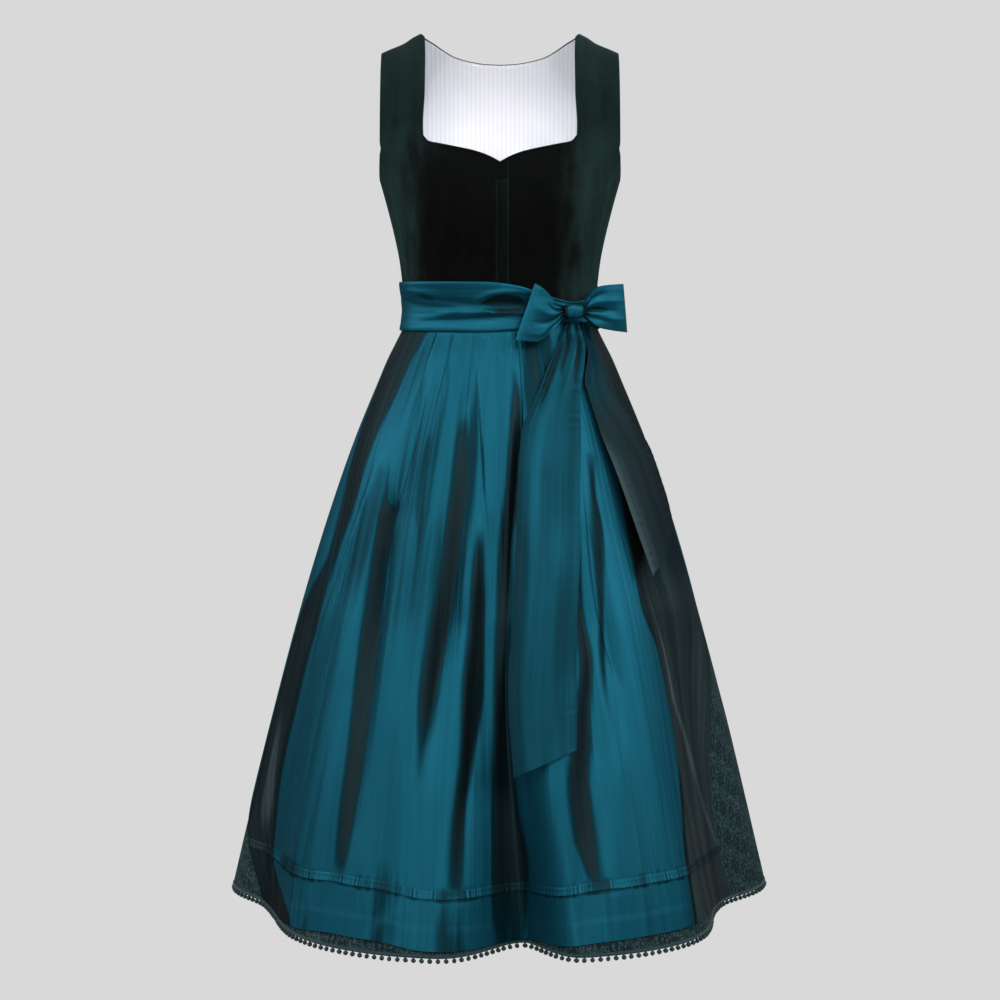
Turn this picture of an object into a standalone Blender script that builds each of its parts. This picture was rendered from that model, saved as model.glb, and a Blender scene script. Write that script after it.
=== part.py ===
"""A sleeveless dirndl dress as worn, hollow and open at neck, armholes and hem.

A velvet bodice with wide straps joins a gathered brocade skirt at the waist. A taffeta apron with a
tuck above its hem lies over the skirt, held by a sash whose bow sits at the wearer's left. A bobble
trim follows the skirt's hem.

Metres, +Z up, the front faces -Y and the wearer's left is +X. The origin is the middle between the
shoulder straps, level with their undersides, where the wearer's shoulders carry the dress.
A drop is a depth in millimetres below the outer face of the straps at the neck.
An angle is in degrees round the body: 0 in front, 90 at the wearer's left, 180 behind.
"""

import math
from collections import namedtuple

import bpy
import numpy as np

MM = 0.001

# Cloth, in millimetres
VELVET_WALL = 2.0
BROCADE_WALL = 1.6
TAFFETA_WALL = 1.2
LINING_WALL = 1.0
SEAM_GAP = 0.3
LAYER_GAP = 0.5
SHOULDER_TOP = VELVET_WALL

# Heights, as drops
WAIST = 358.0
SKIRT_CLOTH_END = 1131.5
APRON_BAND = 67.0
BUST_DROP = 200.0
BLADE_DROP = 160.0
SASH_LOW_EDGE = 388.0
PLEAT_BEGIN = 389.0

# Bodice
SECTION_POWER = 2.1
BUST_DEPTH = 140.0
BLADE_DEPTH = 112.0
SEAM_SHARE = 0.9
STRAP_OUTER = 155.5
NECK_EDGE = 105.0
UNDERARM = 158.5
NAPE_RISE = 45.0
BODICE_ROWS = 8
STRAP_ROWS = 6
SIDE_COLUMNS = 7
PLACKET_WIDTH = 12.0
PLACKET_TOP = 192.0
PLACKET_END = 318.0
PLACKET_WALL = 1.4
PLACKET_OFF = 0.9
LINING_END = 300.0

# Hem trim
BOBBLES = 210
HEM_SAMPLES = 720
STRIP_HEIGHT = 3.2
BOBBLE_DROP = 6.0
BOBBLE_HALF = 2.5
BOBBLE_ROOT = 0.8

# Bow, placed by its knot
KNOT_X = 94.0
KNOT_Y = -95.0
KNOT_DROP = 363.0
KNOT_HALF_WIDTH = 14.0
KNOT_HALF_DEPTH = 9.0
KNOT_HALF_HEIGHT = 10.5
KNOT_ROUNDNESS = 0.45
BOW_TURN = 25.0
LOOP_KNOT_DEPTH = 4.0
LOOP_MID_DEPTH = 9.0

BodiceRow = namedtuple("BodiceRow", "drop half_width front back")
BODICE = [
    BodiceRow(-50, 175.0, 140.0, 112.0),
    BodiceRow(140, 175.0, 140.0, 112.0),
    BodiceRow(192, 158.5, 140.0, 111.0),
    BodiceRow(218, 151.5, 138.5, 108.0),
    BodiceRow(244, 145.0, 132.5, 103.5),
    BodiceRow(270, 139.0, 124.5, 98.5),
    BodiceRow(296, 134.0, 116.5, 94.0),
    BodiceRow(323, 130.5, 108.5, 90.5),
    BodiceRow(358, 126.5, 100.5, 87.5),
]

ShoulderPoint = namedtuple("ShoulderPoint", "x drop")
SHOULDER = [
    ShoulderPoint(105, 0.0),
    ShoulderPoint(114, 4.5),
    ShoulderPoint(126, 12.3),
    ShoulderPoint(145, 20.1),
    ShoulderPoint(156, 24.8),
]

NeckPoint = namedtuple("NeckPoint", "x drop")
NECKLINE = [
    NeckPoint(0, 175.0),
    NeckPoint(14, 167.5),
    NeckPoint(30, 161.5),
    NeckPoint(53, 156.0),
    NeckPoint(76, 151.0),
    NeckPoint(91, 147.5),
    NeckPoint(98.5, 139.0),
]
STRAP_BASE = [
    NeckPoint(112, 140.5),
    NeckPoint(127, 142.5),
    NeckPoint(141, 144.5),
    NeckPoint(155.5, 147.0),
]
StrapEdge = namedtuple("StrapEdge", "drop x")
STRAP_INNER = [
    StrapEdge(0.0, 105),
    StrapEdge(7.0, 99),
    StrapEdge(40.0, 97),
    StrapEdge(80.0, 97),
    StrapEdge(125.0, 99),
    StrapEdge(139.0, 98.5),
]
BACK_NECK = [
    NeckPoint(0, 30.6),
    NeckPoint(20, 29.8),
    NeckPoint(41, 26.8),
    NeckPoint(61, 21.8),
    NeckPoint(76, 14.5),
    NeckPoint(89, 7.0),
    NeckPoint(105, 0.0),
]

SkirtRow = namedtuple("SkirtRow", "drop half_width front back")
SKIRT = [
    SkirtRow(358, 124.0, 98.0, 85.0),
    SkirtRow(386, 128.0, 102.5, 90.0),
    SkirtRow(402, 135.5, 109.5, 98.0),
    SkirtRow(427, 148.0, 122.0, 111.0),
    SkirtRow(454, 159.5, 135.0, 125.0),
    SkirtRow(534, 192.5, 171.0, 162.0),
    SkirtRow(641, 230.0, 213.0, 204.0),
    SkirtRow(749, 263.5, 252.0, 241.0),
    SkirtRow(912, 308.0, 306.0, 291.0),
    SkirtRow(1022, 336.0, 339.0, 322.0),
    SkirtRow(1135, 364.0, 372.0, 352.0),
]

ApronEdge = namedtuple("ApronEdge", "drop right left")
APRON_EDGE = [
    ApronEdge(358, -97, 92),
    ApronEdge(749, -94, 88),
    ApronEdge(860, -92, 79),
    ApronEdge(967, -91, 72),
    ApronEdge(1035, -86, 71),
    ApronEdge(1135, -71, 74),
]

# The angles between which the apron's cloth fans out, away from its edges.
ApronCloth = namedtuple("ApronCloth", "drop right left")
APRON_CLOTH = [
    ApronCloth(358, -97, 92),
    ApronCloth(1135, -76, 76),
]

# A trough's angle and depth at the waist, halfway down and at the hem; it begins at a drop.
# The width is where it has sunk to a third, on the side of smaller and of larger angles.
Trough = namedtuple("Trough", "top middle hem begins depth_middle depth_hem width_before width_after")
TROUGHS = [
    Trough(-60, -66, -68, 500, 18, 41, 13, 20),
    Trough(-46, -40, -38, 540, 15, 0, 6, 6),
    Trough(-30, -27, -26, 620, 5, 0, 4, 4),
    Trough(-26, -16, -16, 470, 14, 2, 4, 5),
    Trough(12, -1, 5, 420, 26, 72, 10.5, 6.3),
    Trough(26, 21, 18, 560, 9, 2, 4, 5),
    Trough(38, 31, 33, 600, 10, 0, 4, 4),
    Trough(58, 62, 67, 440, 24, 59, 19, 15.5),
    Trough(112, 109, 107, 480, 17, 34, 8, 10),
    Trough(135, 134, 132, 520, 14, 26, 7, 9),
    Trough(160, 157, 156, 450, 20, 46, 9, 8),
    Trough(186, 184, 181, 500, 16, 34, 8, 9),
    Trough(208, 207, 209, 470, 18, 48, 8, 8),
    Trough(232, 233, 234, 540, 12, 24, 8, 7),
    Trough(252, 254, 257, 460, 18, 36, 9, 8),
]
TROUGH_POWER = 2.4
TROUGH_MIDDLE = 749.0
TROUGH_END = 1135.0

# Pressed pleats of the apron: the share of its width, and which way the fold's step faces.
Pleat = namedtuple("Pleat", "share folds_back")
APRON_PLEATS = [
    Pleat(0.26, False),
    Pleat(0.335, False),
    Pleat(0.415, False),
    Pleat(0.585, True),
    Pleat(0.665, True),
    Pleat(0.74, True),
]
PLEAT_STEP = 3.0
PLEAT_RUN = 0.075
PLEAT_GROWTH = 28.0
PLEAT_LENGTH = 230.0
GATHER_STEP = 2.6
GATHER_LENGTH = 260.0

# How far the apron's hem hangs above the skirt's cloth edge, by angle.
ApronHem = namedtuple("ApronHem", "angle rise")
APRON_HEM = [
    ApronHem(-75, 1.0),
    ApronHem(-55, 2.0),
    ApronHem(-43, 7.0),
    ApronHem(-33, 13.0),
    ApronHem(-23, 12.0),
    ApronHem(-15, 5.0),
    ApronHem(-8, 4.0),
    ApronHem(4, 1.0),
    ApronHem(10, 6.0),
    ApronHem(18, 12.5),
    ApronHem(32, 14.5),
    ApronHem(47, 14.5),
    ApronHem(57, 7.0),
    ApronHem(66, 2.0),
    ApronHem(76, 4.0),
]
BACK_LAST_ROW = 10.0
TUCK_HEIGHT = 8.0
TUCK_OFF = 0.4

SKIRT_ROWS = [358.5, 390.0, 424.0, 480.0, 560.0, 660.0, 780.0, 920.0]
APRON_COLUMNS = 46
BACK_COLUMNS = 44
BACK_FROM = 78.0
BACK_TO = 278.0
EDGE_BLEND = 0.25

# The columns at which each gore begins and ends
GORES = {
    "skirt_front_right": (4, 23),
    "skirt_front_left": (23, 42),
    "skirt_side_left": (42, 56),
    "skirt_back_left": (56, 68),
    "skirt_back_right": (68, 80),
    "skirt_side_right": (80, 94),
}

SashPoint = namedtuple("SashPoint", "angle top end")
SASH = [
    SashPoint(-180, 324.0, 388.0),
    SashPoint(-90, 324.0, 388.0),
    SashPoint(-10, 325.0, 388.5),
    SashPoint(12, 330.0, 386.0),
    SashPoint(35, 344.0, 379.0),
    SashPoint(52, 350.0, 377.0),
    SashPoint(80, 338.0, 383.0),
    SashPoint(110, 326.0, 388.0),
    SashPoint(180, 324.0, 388.0),
]
SASH_COLUMNS = 40
SASH_BANDS = 2
SASH_WALL = 2.0
SASH_OFF = 2.0

# A loop's upper and lower edge from the knot to its tip: along the bow and above the knot, in mm.
LoopRow = namedtuple("LoopRow", "share top_along top_up low_along low_up")
LOOP_RIGHT = [
    LoopRow(0.0, 15.0, 7.0, 15.0, -7.0),
    LoopRow(0.35, 27.0, 12.0, 32.0, -24.0),
    LoopRow(0.7, 42.0, 27.0, 56.0, -38.0),
    LoopRow(1.0, 55.0, 36.0, 82.0, -36.0),
]
LOOP_LEFT = [
    LoopRow(0.0, 15.0, 6.0, 15.0, -6.0),
    LoopRow(0.3, 28.0, 27.0, 34.0, -19.0),
    LoopRow(0.65, 48.0, 34.0, 57.0, -24.0),
    LoopRow(1.0, 73.0, 36.0, 79.0, -27.0),
]
LOOP_STEPS = 14
LOOP_BANDS = 4

# A tail's two edges, by angle and drop, and how far it stands off the dress.
TailRow = namedtuple("TailRow", "angle_before drop_before angle_after drop_after off")
TAIL_FRONT = [
    TailRow(46, 376, 55, 376, 5.5),
    TailRow(40, 393, 57, 393, 6.5),
    TailRow(26.5, 432, 47.5, 432, 8.0),
    TailRow(17, 471, 39, 474, 8.0),
    TailRow(9.5, 510, 35, 513, 8.0),
    TailRow(6.5, 573, 30, 574, 7.5),
    TailRow(5, 650, 26, 647, 7.0),
    TailRow(3.5, 741, 21.5, 743, 7.0),
    TailRow(2, 825, 19, 825, 7.0),
    TailRow(3, 924, 17.5, 894, 7.0),
]
TAIL_SIDE = [
    TailRow(58, 376, 65, 376, 5.5),
    TailRow(54, 412, 62, 412, 7.5),
    TailRow(44, 459, 58, 458, 8.0),
    TailRow(44, 511, 68, 504, 8.0),
    TailRow(46, 563, 76.5, 551, 8.0),
    TailRow(48, 629, 76.5, 597, 7.5),
    TailRow(50, 697, 73, 641, 7.0),
]
TAIL_BANDS = 5

Look = namedtuple("Look", "colour roughness metallic")
VELVET = Look((0.008, 0.018, 0.017), 0.85, 0.0)
BROCADE = Look((0.014, 0.032, 0.036), 0.7, 0.0)
TAFFETA = Look((0.010, 0.080, 0.120), 0.4, 0.3)
LINING = Look((0.78, 0.80, 0.86), 0.9, 0.0)
TRIM = Look((0.010, 0.035, 0.040), 0.8, 0.0)


def clear_scene():
    for obj in list(bpy.data.objects):
        bpy.data.objects.remove(obj, do_unlink=True)


def smooth(rows, column, at):
    """A named column of a table at `at`, through its rows as a smooth curve with no overshoot."""
    xs = [row[0] for row in rows]
    ys = [getattr(row, column) for row in rows]
    at = min(max(at, xs[0]), xs[-1])
    i = next((k for k in range(len(xs) - 2) if at <= xs[k + 1]), len(xs) - 2)
    slopes = [(ys[k + 1] - ys[k]) / (xs[k + 1] - xs[k]) for k in range(len(xs) - 1)]

    def tangent(k):
        if k == 0:
            return slopes[0]
        if k == len(xs) - 1:
            return slopes[-1]
        if slopes[k - 1] * slopes[k] <= 0:
            return 0.0
        return 2 * slopes[k - 1] * slopes[k] / (slopes[k - 1] + slopes[k])

    width = xs[i + 1] - xs[i]
    t = (at - xs[i]) / width
    rise = ys[i + 1] - ys[i]
    start, end = tangent(i) * width, tangent(i + 1) * width
    return ys[i] + t * (start + t * (3 * rise - 2 * start - end + t * (start + end - 2 * rise)))


def ease(share):
    """0 before 0 and 1 after 1, easing between."""
    share = min(max(share, 0.0), 1.0)
    return share * share * (3 - 2 * share)


def place(x, y, drop):
    """A point in metres from millimetres."""
    return (x * MM, y * MM, (SHOULDER_TOP - drop) * MM)


def grid_cells(rows, columns, first=0):
    """The quads of a grid whose rows run down and whose columns run to the left of the wearer."""
    cells = []
    for r in range(rows - 1):
        for c in range(columns - 1):
            a = first + r * columns + c
            cells.append((a, a + columns, a + columns + 1, a + 1))
    return cells


def triangles(cells):
    for cell in cells:
        for k in range(1, len(cell) - 1):
            yield (cell[0], cell[k], cell[k + 1])


def make_object(name, points, faces, look):
    mesh = bpy.data.meshes.new(name)
    mesh.from_pydata([tuple(map(float, point)) for point in points], [], faces)
    mesh.shade_smooth()
    mesh.set_sharp_from_angle(angle=math.radians(40))
    material = bpy.data.materials.new(name)
    material.use_nodes = True
    surface = material.node_tree.nodes["Principled BSDF"]
    surface.inputs["Base Color"].default_value = (*look.colour, 1.0)
    surface.inputs["Roughness"].default_value = look.roughness
    surface.inputs["Metallic"].default_value = look.metallic
    mesh.materials.append(material)
    obj = bpy.data.objects.new(name, mesh)
    bpy.context.scene.collection.objects.link(obj)
    return obj


def cloth_wall(name, outer, inner, cells, look):
    """A closed wall between two faces that share their cells, with its cut edges."""
    count = len(outer)
    faces = list(triangles(cells))
    sides = {(face[k], face[(k + 1) % 3]) for face in faces for k in range(3)}
    faces += [(c + count, b + count, a + count) for a, b, c in list(faces)]
    for a, b in sorted(sides):
        if (b, a) not in sides:
            faces += [(b, a, a + count), (b, a + count, b + count)]
    return make_object(name, np.vstack([outer, inner]), faces, look)


def lone_normals(points, cells):
    """Each point's outward direction, averaged over the triangles round it."""
    points = np.array(points, float)
    normals = np.zeros_like(points)
    for a, b, c in triangles(cells):
        face = np.cross(points[b] - points[a], points[c] - points[a])
        for k in (a, b, c):
            normals[k] += face
    return normals / np.linalg.norm(normals, axis=1)[:, None]


def joined_normals(panels):
    """The panels' directions, where points that meet at a seam share one; and which points meet."""
    sums = {}
    owners = {}
    keys = {}
    for name, (points, cells) in panels.items():
        points = np.array(points, float)
        keys[name] = [tuple(np.round(point / MM, 3)) for point in points]
        for key in keys[name]:
            sums.setdefault(key, np.zeros(3))
            owners.setdefault(key, set()).add(name)
        for a, b, c in triangles(cells):
            face = np.cross(points[b] - points[a], points[c] - points[a])
            for k in (a, b, c):
                sums[keys[name][k]] += face
    normals = {}
    seams = {}
    for name, own in keys.items():
        rows = np.array([sums[key] for key in own])
        normals[name] = rows / np.linalg.norm(rows, axis=1)[:, None]
        seams[name] = [k for k, key in enumerate(own) if len(owners[key]) > 1]
    return normals, seams


def parted(points, cells, seam):
    """The points with those on a seam drawn back by half its gap, towards the panel's inside."""
    points = np.array(points, float)
    seam = set(seam)
    inward = {k: [] for k in seam}
    for cell in cells:
        for k in range(len(cell)):
            a, b = cell[k], cell[(k + 1) % len(cell)]
            if a in seam and b not in seam:
                inward[a].append(b)
            if b in seam and a not in seam:
                inward[b].append(a)
    moved = points.copy()
    for k, others in inward.items():
        if others:
            along = points[others].mean(axis=0) - points[k]
            moved[k] += along / np.linalg.norm(along) * SEAM_GAP / 2 * MM
    return moved


def build_panels(panels, wall, look):
    """One cloth wall for each panel, a seam's gap apart; returns their points and directions."""
    normals, seams = joined_normals(panels)
    for name, (points, cells) in panels.items():
        outer = parted(points, cells, seams[name])
        cloth_wall(name, outer, outer - normals[name] * wall * MM, cells, look)
    return normals


def mirrored(panel):
    points, cells = panel
    return np.array(points, float) * (-1, 1, 1), [tuple(reversed(cell)) for cell in cells]


# The bodice ---------------------------------------------------------------------------------------


def half_width(drop):
    return smooth(BODICE, "half_width", drop)


def shoulder_drop(x):
    return smooth(SHOULDER, "drop", abs(x))


def nape_drop(x):
    """Where the back's curve would close: the shoulder seam, and above the neckline between them."""
    return shoulder_drop(x) - NAPE_RISE * max(0.0, 1 - (x / NECK_EDGE) ** 2)


def section_share(x, drop):
    """How far before the side a point at x lies, as a share of the section's depth."""
    q = min(abs(x) / half_width(drop), 1.0)
    return (1 - q**SECTION_POWER) ** (1 / SECTION_POWER)


def arched(depth, apex_drop, drop, close_drop):
    """The depth at a drop above the fullest one, where the body arches over to its closing drop."""
    climb = min((apex_drop - drop) / (apex_drop - close_drop), 1.0)
    return depth * math.sqrt(1 - climb**2)


def front_point(x, drop):
    depth = smooth(BODICE, "front", drop)
    if drop < BUST_DROP:
        depth = arched(BUST_DEPTH, BUST_DROP, drop, shoulder_drop(x))
    return place(x, -depth * section_share(x, drop), drop)


def back_point(x, drop):
    depth = smooth(BODICE, "back", drop)
    if drop < BLADE_DROP:
        depth = arched(BLADE_DEPTH, BLADE_DROP, drop, nape_drop(x))
    return place(x, depth * section_share(x, drop), drop)


def arch_angle(apex_drop, drop, close_drop):
    return math.asin(min((apex_drop - drop) / (apex_drop - close_drop), 1.0))


def front_panel():
    """The wearer's left front: the part below the neckline, then the strap above it."""
    top = NECKLINE + STRAP_BASE
    columns = len(top)
    points = []
    for r in range(BODICE_ROWS):
        down = r / (BODICE_ROWS - 1)
        for point in top:
            drop = point.drop + (WAIST - point.drop) * down
            top_share = point.x / half_width(point.drop)
            points.append(front_point(top_share * half_width(drop), drop))
    cells = grid_cells(BODICE_ROWS, columns)
    first = len(NECKLINE) - 1
    below = list(range(first, columns))
    for r in range(1, STRAP_ROWS + 1):
        row = []
        for c, point in enumerate(top[first:]):
            across = c / (columns - 1 - first)
            closing = shoulder_drop(NECK_EDGE + (STRAP_OUTER - NECK_EDGE) * across)
            start = arch_angle(BUST_DROP, point.drop, closing)
            angle = start + (math.pi / 2 - start) * r / STRAP_ROWS
            level = (BUST_DROP - closing) * (1 - math.sin(angle))
            inner = smooth(STRAP_INNER, "x", level)
            x = inner + (STRAP_OUTER - inner) * across
            drop = BUST_DROP - (BUST_DROP - shoulder_drop(x)) * math.sin(angle)
            row.append(len(points))
            points.append(front_point(x, drop))
        for c in range(len(row) - 1):
            cells.append((row[c], below[c], below[c + 1], row[c + 1]))
        below = row
    return points, cells


def side_top(share):
    """The armhole's drop where the side has this share of the half width."""
    reach = STRAP_OUTER + (UNDERARM - STRAP_OUTER) * (share - SEAM_SHARE) / (1 - SEAM_SHARE)
    low, high = 100.0, 220.0
    for _ in range(30):
        middle = (low + high) / 2
        if half_width(middle) * share > reach:
            low = middle
        else:
            high = middle
    return low


def side_panel():
    """The wearer's left side, from the front seam under the arm to the back seam."""
    start = math.asin(SEAM_SHARE ** (SECTION_POWER / 2))
    turns = [start + (math.pi - 2 * start) * c / (SIDE_COLUMNS - 1) for c in range(SIDE_COLUMNS)]
    points = []
    for r in range(BODICE_ROWS):
        down = r / (BODICE_ROWS - 1)
        for turn in turns:
            share = math.sin(turn) ** (2 / SECTION_POWER)
            top = side_top(share)
            drop = top + (WAIST - top) * down
            side = front_point if math.cos(turn) > 0 else back_point
            points.append(side(share * half_width(drop), drop))
    return points, grid_cells(BODICE_ROWS, SIDE_COLUMNS)


def back_columns():
    """Where the back's columns end: the neckline between the straps, then the shoulder seams."""
    wide = len(STRAP_BASE)
    strap = [NECK_EDGE + (STRAP_OUTER - NECK_EDGE) * k / wide for k in range(wide + 1)]
    neck = [-point.x for point in BACK_NECK[:-1]]
    left = [*neck, *[-x for x in strap]]
    return sorted({*left, *[-x for x in left]}, reverse=True)


def back_panel():
    top = side_top(SEAM_SHARE)
    columns = back_columns()
    points = []
    for r in range(STRAP_ROWS, 0, -1):
        for x in columns:
            end = smooth(BACK_NECK, "drop", abs(x)) if abs(x) < NECK_EDGE else nape_drop(x)
            start = arch_angle(BLADE_DROP, top, nape_drop(x))
            last = arch_angle(BLADE_DROP, end, nape_drop(x))
            angle = start + (last - start) * r / STRAP_ROWS
            drop = BLADE_DROP - (BLADE_DROP - nape_drop(x)) * math.sin(angle)
            points.append(back_point(x, drop))
    for r in range(BODICE_ROWS):
        drop = top + (WAIST - top) * r / (BODICE_ROWS - 1)
        for x in columns:
            points.append(back_point(x / STRAP_OUTER * SEAM_SHARE * half_width(drop), drop))
    return points, grid_cells(STRAP_ROWS + BODICE_ROWS, len(columns))


def build_bodice():
    panels = {
        "front_left": front_panel(),
        "side_left": side_panel(),
        "back": back_panel(),
    }
    panels["front_right"] = mirrored(panels["front_left"])
    panels["side_right"] = mirrored(panels["side_left"])
    normals = build_panels(panels, VELVET_WALL, VELVET)
    build_lining(*panels["back"], normals["back"])
    build_placket()


def build_lining(points, cells, normals):
    """The back's striped lining, just inside it, a little short of its edges."""
    points = np.array(points, float)
    columns = len(back_columns())
    kept = [cell for cell in cells if SHOULDER_TOP - points[cell[1]][2] / MM < LINING_END]
    kept = [cell for cell in kept if 0 < cell[0] % columns < columns - 2]
    neck = [cell for cell in kept if cell[0] < columns]
    kept = [cell for cell in kept if cell[0] >= columns]
    kept += [cell for cell in neck if max(abs(points[[cell[0], cell[3]], 0])) < NECK_EDGE * MM]
    used = sorted({k for cell in kept for k in cell})
    number = {k: i for i, k in enumerate(used)}
    outer = points[used] - normals[used] * (VELVET_WALL + LAYER_GAP) * MM
    inner = outer - normals[used] * LINING_WALL * MM
    cloth_wall("back_lining", outer, inner, [tuple(number[k] for k in cell) for cell in kept], LINING)


def build_placket():
    """The fly over the concealed front closure, on the wearer's left front."""
    rows = 6
    points = []
    for r in range(rows):
        drop = PLACKET_TOP + (PLACKET_END - PLACKET_TOP) * r / (rows - 1)
        for x in (SEAM_GAP, PLACKET_WIDTH):
            points.append(front_point(x, drop))
    cells = grid_cells(rows, 2)
    points = np.array(points)
    normals = lone_normals(points, cells)
    inner = points + normals * PLACKET_OFF * MM
    cloth_wall("placket", inner + normals * PLACKET_WALL * MM, inner, cells, VELVET)


# The skirt and what lies on it --------------------------------------------------------------------


def blend(rows, column, at):
    """A named column of a table at `at`, straight between its rows."""
    return float(np.interp(at, [row[0] for row in rows], [getattr(row, column) for row in rows]))


def column_angle(share, drop):
    """The angle of a column: shares 0 to 1 cross the apron, and 1 to 2 pass behind the wearer."""
    right = smooth(APRON_EDGE, "right", drop)
    left = smooth(APRON_EDGE, "left", drop)
    if share <= 1:
        cloth_right = blend(APRON_CLOTH, "right", drop)
        cloth_left = blend(APRON_CLOTH, "left", drop)
        angle = cloth_right + (cloth_left - cloth_right) * share
        angle += (right - cloth_right) * max(0.0, 1 - share / EDGE_BLEND)
        return angle + (left - cloth_left) * max(0.0, 1 - (1 - share) / EDGE_BLEND)
    way = share - 1
    angle = BACK_FROM + (BACK_TO - BACK_FROM) * way
    angle += (left - BACK_FROM) * max(0.0, 1 - way / EDGE_BLEND)
    return angle + (360 + right - BACK_TO) * max(0.0, 1 - (1 - way) / EDGE_BLEND)


def section_radius(angle, width, depth):
    across = abs(math.sin(math.radians(angle))) / width
    along = abs(math.cos(math.radians(angle))) / depth
    return (across**SECTION_POWER + along**SECTION_POWER) ** (-1 / SECTION_POWER)


def skirt_radius(angle, drop):
    """The skirt's radius before its folds."""
    side = "front" if math.cos(math.radians(angle)) > 0 else "back"
    return section_radius(angle, smooth(SKIRT, "half_width", drop), smooth(SKIRT, side, drop))


def trough_depth(angle, drop):
    """How far the folds sink the skirt here."""
    total = 0.0
    for fold in TROUGHS:
        if drop < TROUGH_MIDDLE:
            way = (drop - WAIST) / (TROUGH_MIDDLE - WAIST)
            centre = fold.top + (fold.middle - fold.top) * way
            depth = fold.depth_middle * ease((drop - fold.begins) / (TROUGH_MIDDLE - fold.begins))
        else:
            way = (drop - TROUGH_MIDDLE) / (TROUGH_END - TROUGH_MIDDLE)
            centre = fold.middle + (fold.hem - fold.middle) * way
            depth = fold.depth_middle + (fold.depth_hem - fold.depth_middle) * way
        off = (angle - centre + 180) % 360 - 180
        width = fold.width_before if off < 0 else fold.width_after
        total += depth * math.exp(-((abs(off) / width) ** TROUGH_POWER))
    return total


def pleat_height(share, drop):
    """How far pressed pleats of the apron and gathers behind raise the cloth below the sash."""
    grown = ease((drop - PLEAT_BEGIN) / PLEAT_GROWTH)
    if share > 1:
        fade = 1 - ease((drop - PLEAT_BEGIN) / GATHER_LENGTH)
        wave = 0.5 - 0.5 * math.cos(math.pi * BACK_COLUMNS * (share - 1))
        return GATHER_STEP * wave * grown * fade
    fade = 1 - ease((drop - PLEAT_BEGIN) / PLEAT_LENGTH)
    height = 0.0
    for pleat in APRON_PLEATS:
        past = (share - pleat.share) * (-1 if pleat.folds_back else 1)
        if 0 <= past < PLEAT_RUN:
            height += PLEAT_STEP * (1 - past / PLEAT_RUN)
    return height * grown * fade


def skirt_point(share, drop):
    angle = column_angle(share, drop)
    radius = skirt_radius(angle, drop) - trough_depth(angle, drop) + pleat_height(share, drop)
    turn = math.radians(angle)
    return place(radius * math.sin(turn), -radius * math.cos(turn), drop)


def apron_end(share):
    """The drop of the apron's hem, and behind of the skirt's last row but one."""
    if share > 1:
        return SKIRT_CLOTH_END - BACK_LAST_ROW
    return SKIRT_CLOTH_END - smooth(APRON_HEM, "rise", column_angle(share, SKIRT_CLOTH_END))


def column_shares():
    apron = [k / APRON_COLUMNS for k in range(APRON_COLUMNS)]
    return apron + [1 + k / BACK_COLUMNS for k in range(BACK_COLUMNS)]


def column_drops(share):
    end = apron_end(share)
    return [*SKIRT_ROWS, end - APRON_BAND, end - APRON_BAND + TUCK_HEIGHT, end, SKIRT_CLOTH_END]


def skirt_surface():
    """The skirt's outer points and directions, as rows from waist to hem all round."""
    shares = column_shares()
    rows = list(zip(*[[skirt_point(share, drop) for drop in column_drops(share)] for share in shares]))
    closed = np.array([[*row, row[0]] for row in rows])
    points = closed.reshape(-1, 3)
    normals, _ = joined_normals({"ring": (points, grid_cells(*closed.shape[:2]))})
    return closed[:, :-1], normals["ring"].reshape(closed.shape)[:, :-1]


def build_gores(points, normals):
    """Six gores of brocade, with seams in front, behind and on both sides."""
    for name, (first, last) in GORES.items():
        columns = np.arange(first, last + 1) % points.shape[1]
        own = points[:, columns]
        own[:, 0] += toward(own[:, 0], own[:, 1])
        own[:, -1] += toward(own[:, -1], own[:, -2])
        inner = own - normals[:, columns] * BROCADE_WALL * MM
        inner[-1, :, 2] = own[-1, :, 2]
        cells = grid_cells(len(points), len(columns))
        cloth_wall(name, own.reshape(-1, 3), inner.reshape(-1, 3), cells, BROCADE)


def toward(edge, next_to):
    """A step of half the seam's gap from an edge's points towards the column beside it."""
    along = next_to - edge
    return along / np.linalg.norm(along, axis=1)[:, None] * SEAM_GAP / 2 * MM


def build_apron(points, normals):
    """The apron lies on the skirt; the tuck lies on the apron, one band above its hem."""
    wide = APRON_COLUMNS + 1
    cloth, out = points[:-1, :wide], normals[:-1, :wide]
    inner = cloth + out * LAYER_GAP * MM
    outer = inner + out * TAFFETA_WALL * MM
    cells = grid_cells(len(cloth), wide)
    cloth_wall("apron", outer.reshape(-1, 3), inner.reshape(-1, 3), cells, TAFFETA)
    inner = outer[-3:-1] + out[-3:-1] * TUCK_OFF * MM
    outer = inner + out[-3:-1] * TAFFETA_WALL * MM
    cloth_wall("apron_tuck", outer.reshape(-1, 3), inner.reshape(-1, 3), grid_cells(2, wide), TAFFETA)


def hem_line():
    """Points evenly spaced round the middle of the skirt's wall at its hem, and their directions."""
    fine = [2 * k / HEM_SAMPLES for k in range(HEM_SAMPLES + 1)]
    line = np.array([skirt_point(share, SKIRT_CLOTH_END) for share in fine])
    step = np.roll(line[:-1], -1, axis=0) - np.roll(line[:-1], 1, axis=0)
    out = np.column_stack([step[:, 1], -step[:, 0], np.zeros(len(step))])
    out /= np.linalg.norm(out, axis=1)[:, None]
    out = np.vstack([out, out[:1]])
    line = line - out * BROCADE_WALL / 2 * MM
    lengths = np.concatenate([[0], np.cumsum(np.linalg.norm(np.diff(line, axis=0), axis=1))])
    return line, out, lengths


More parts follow.
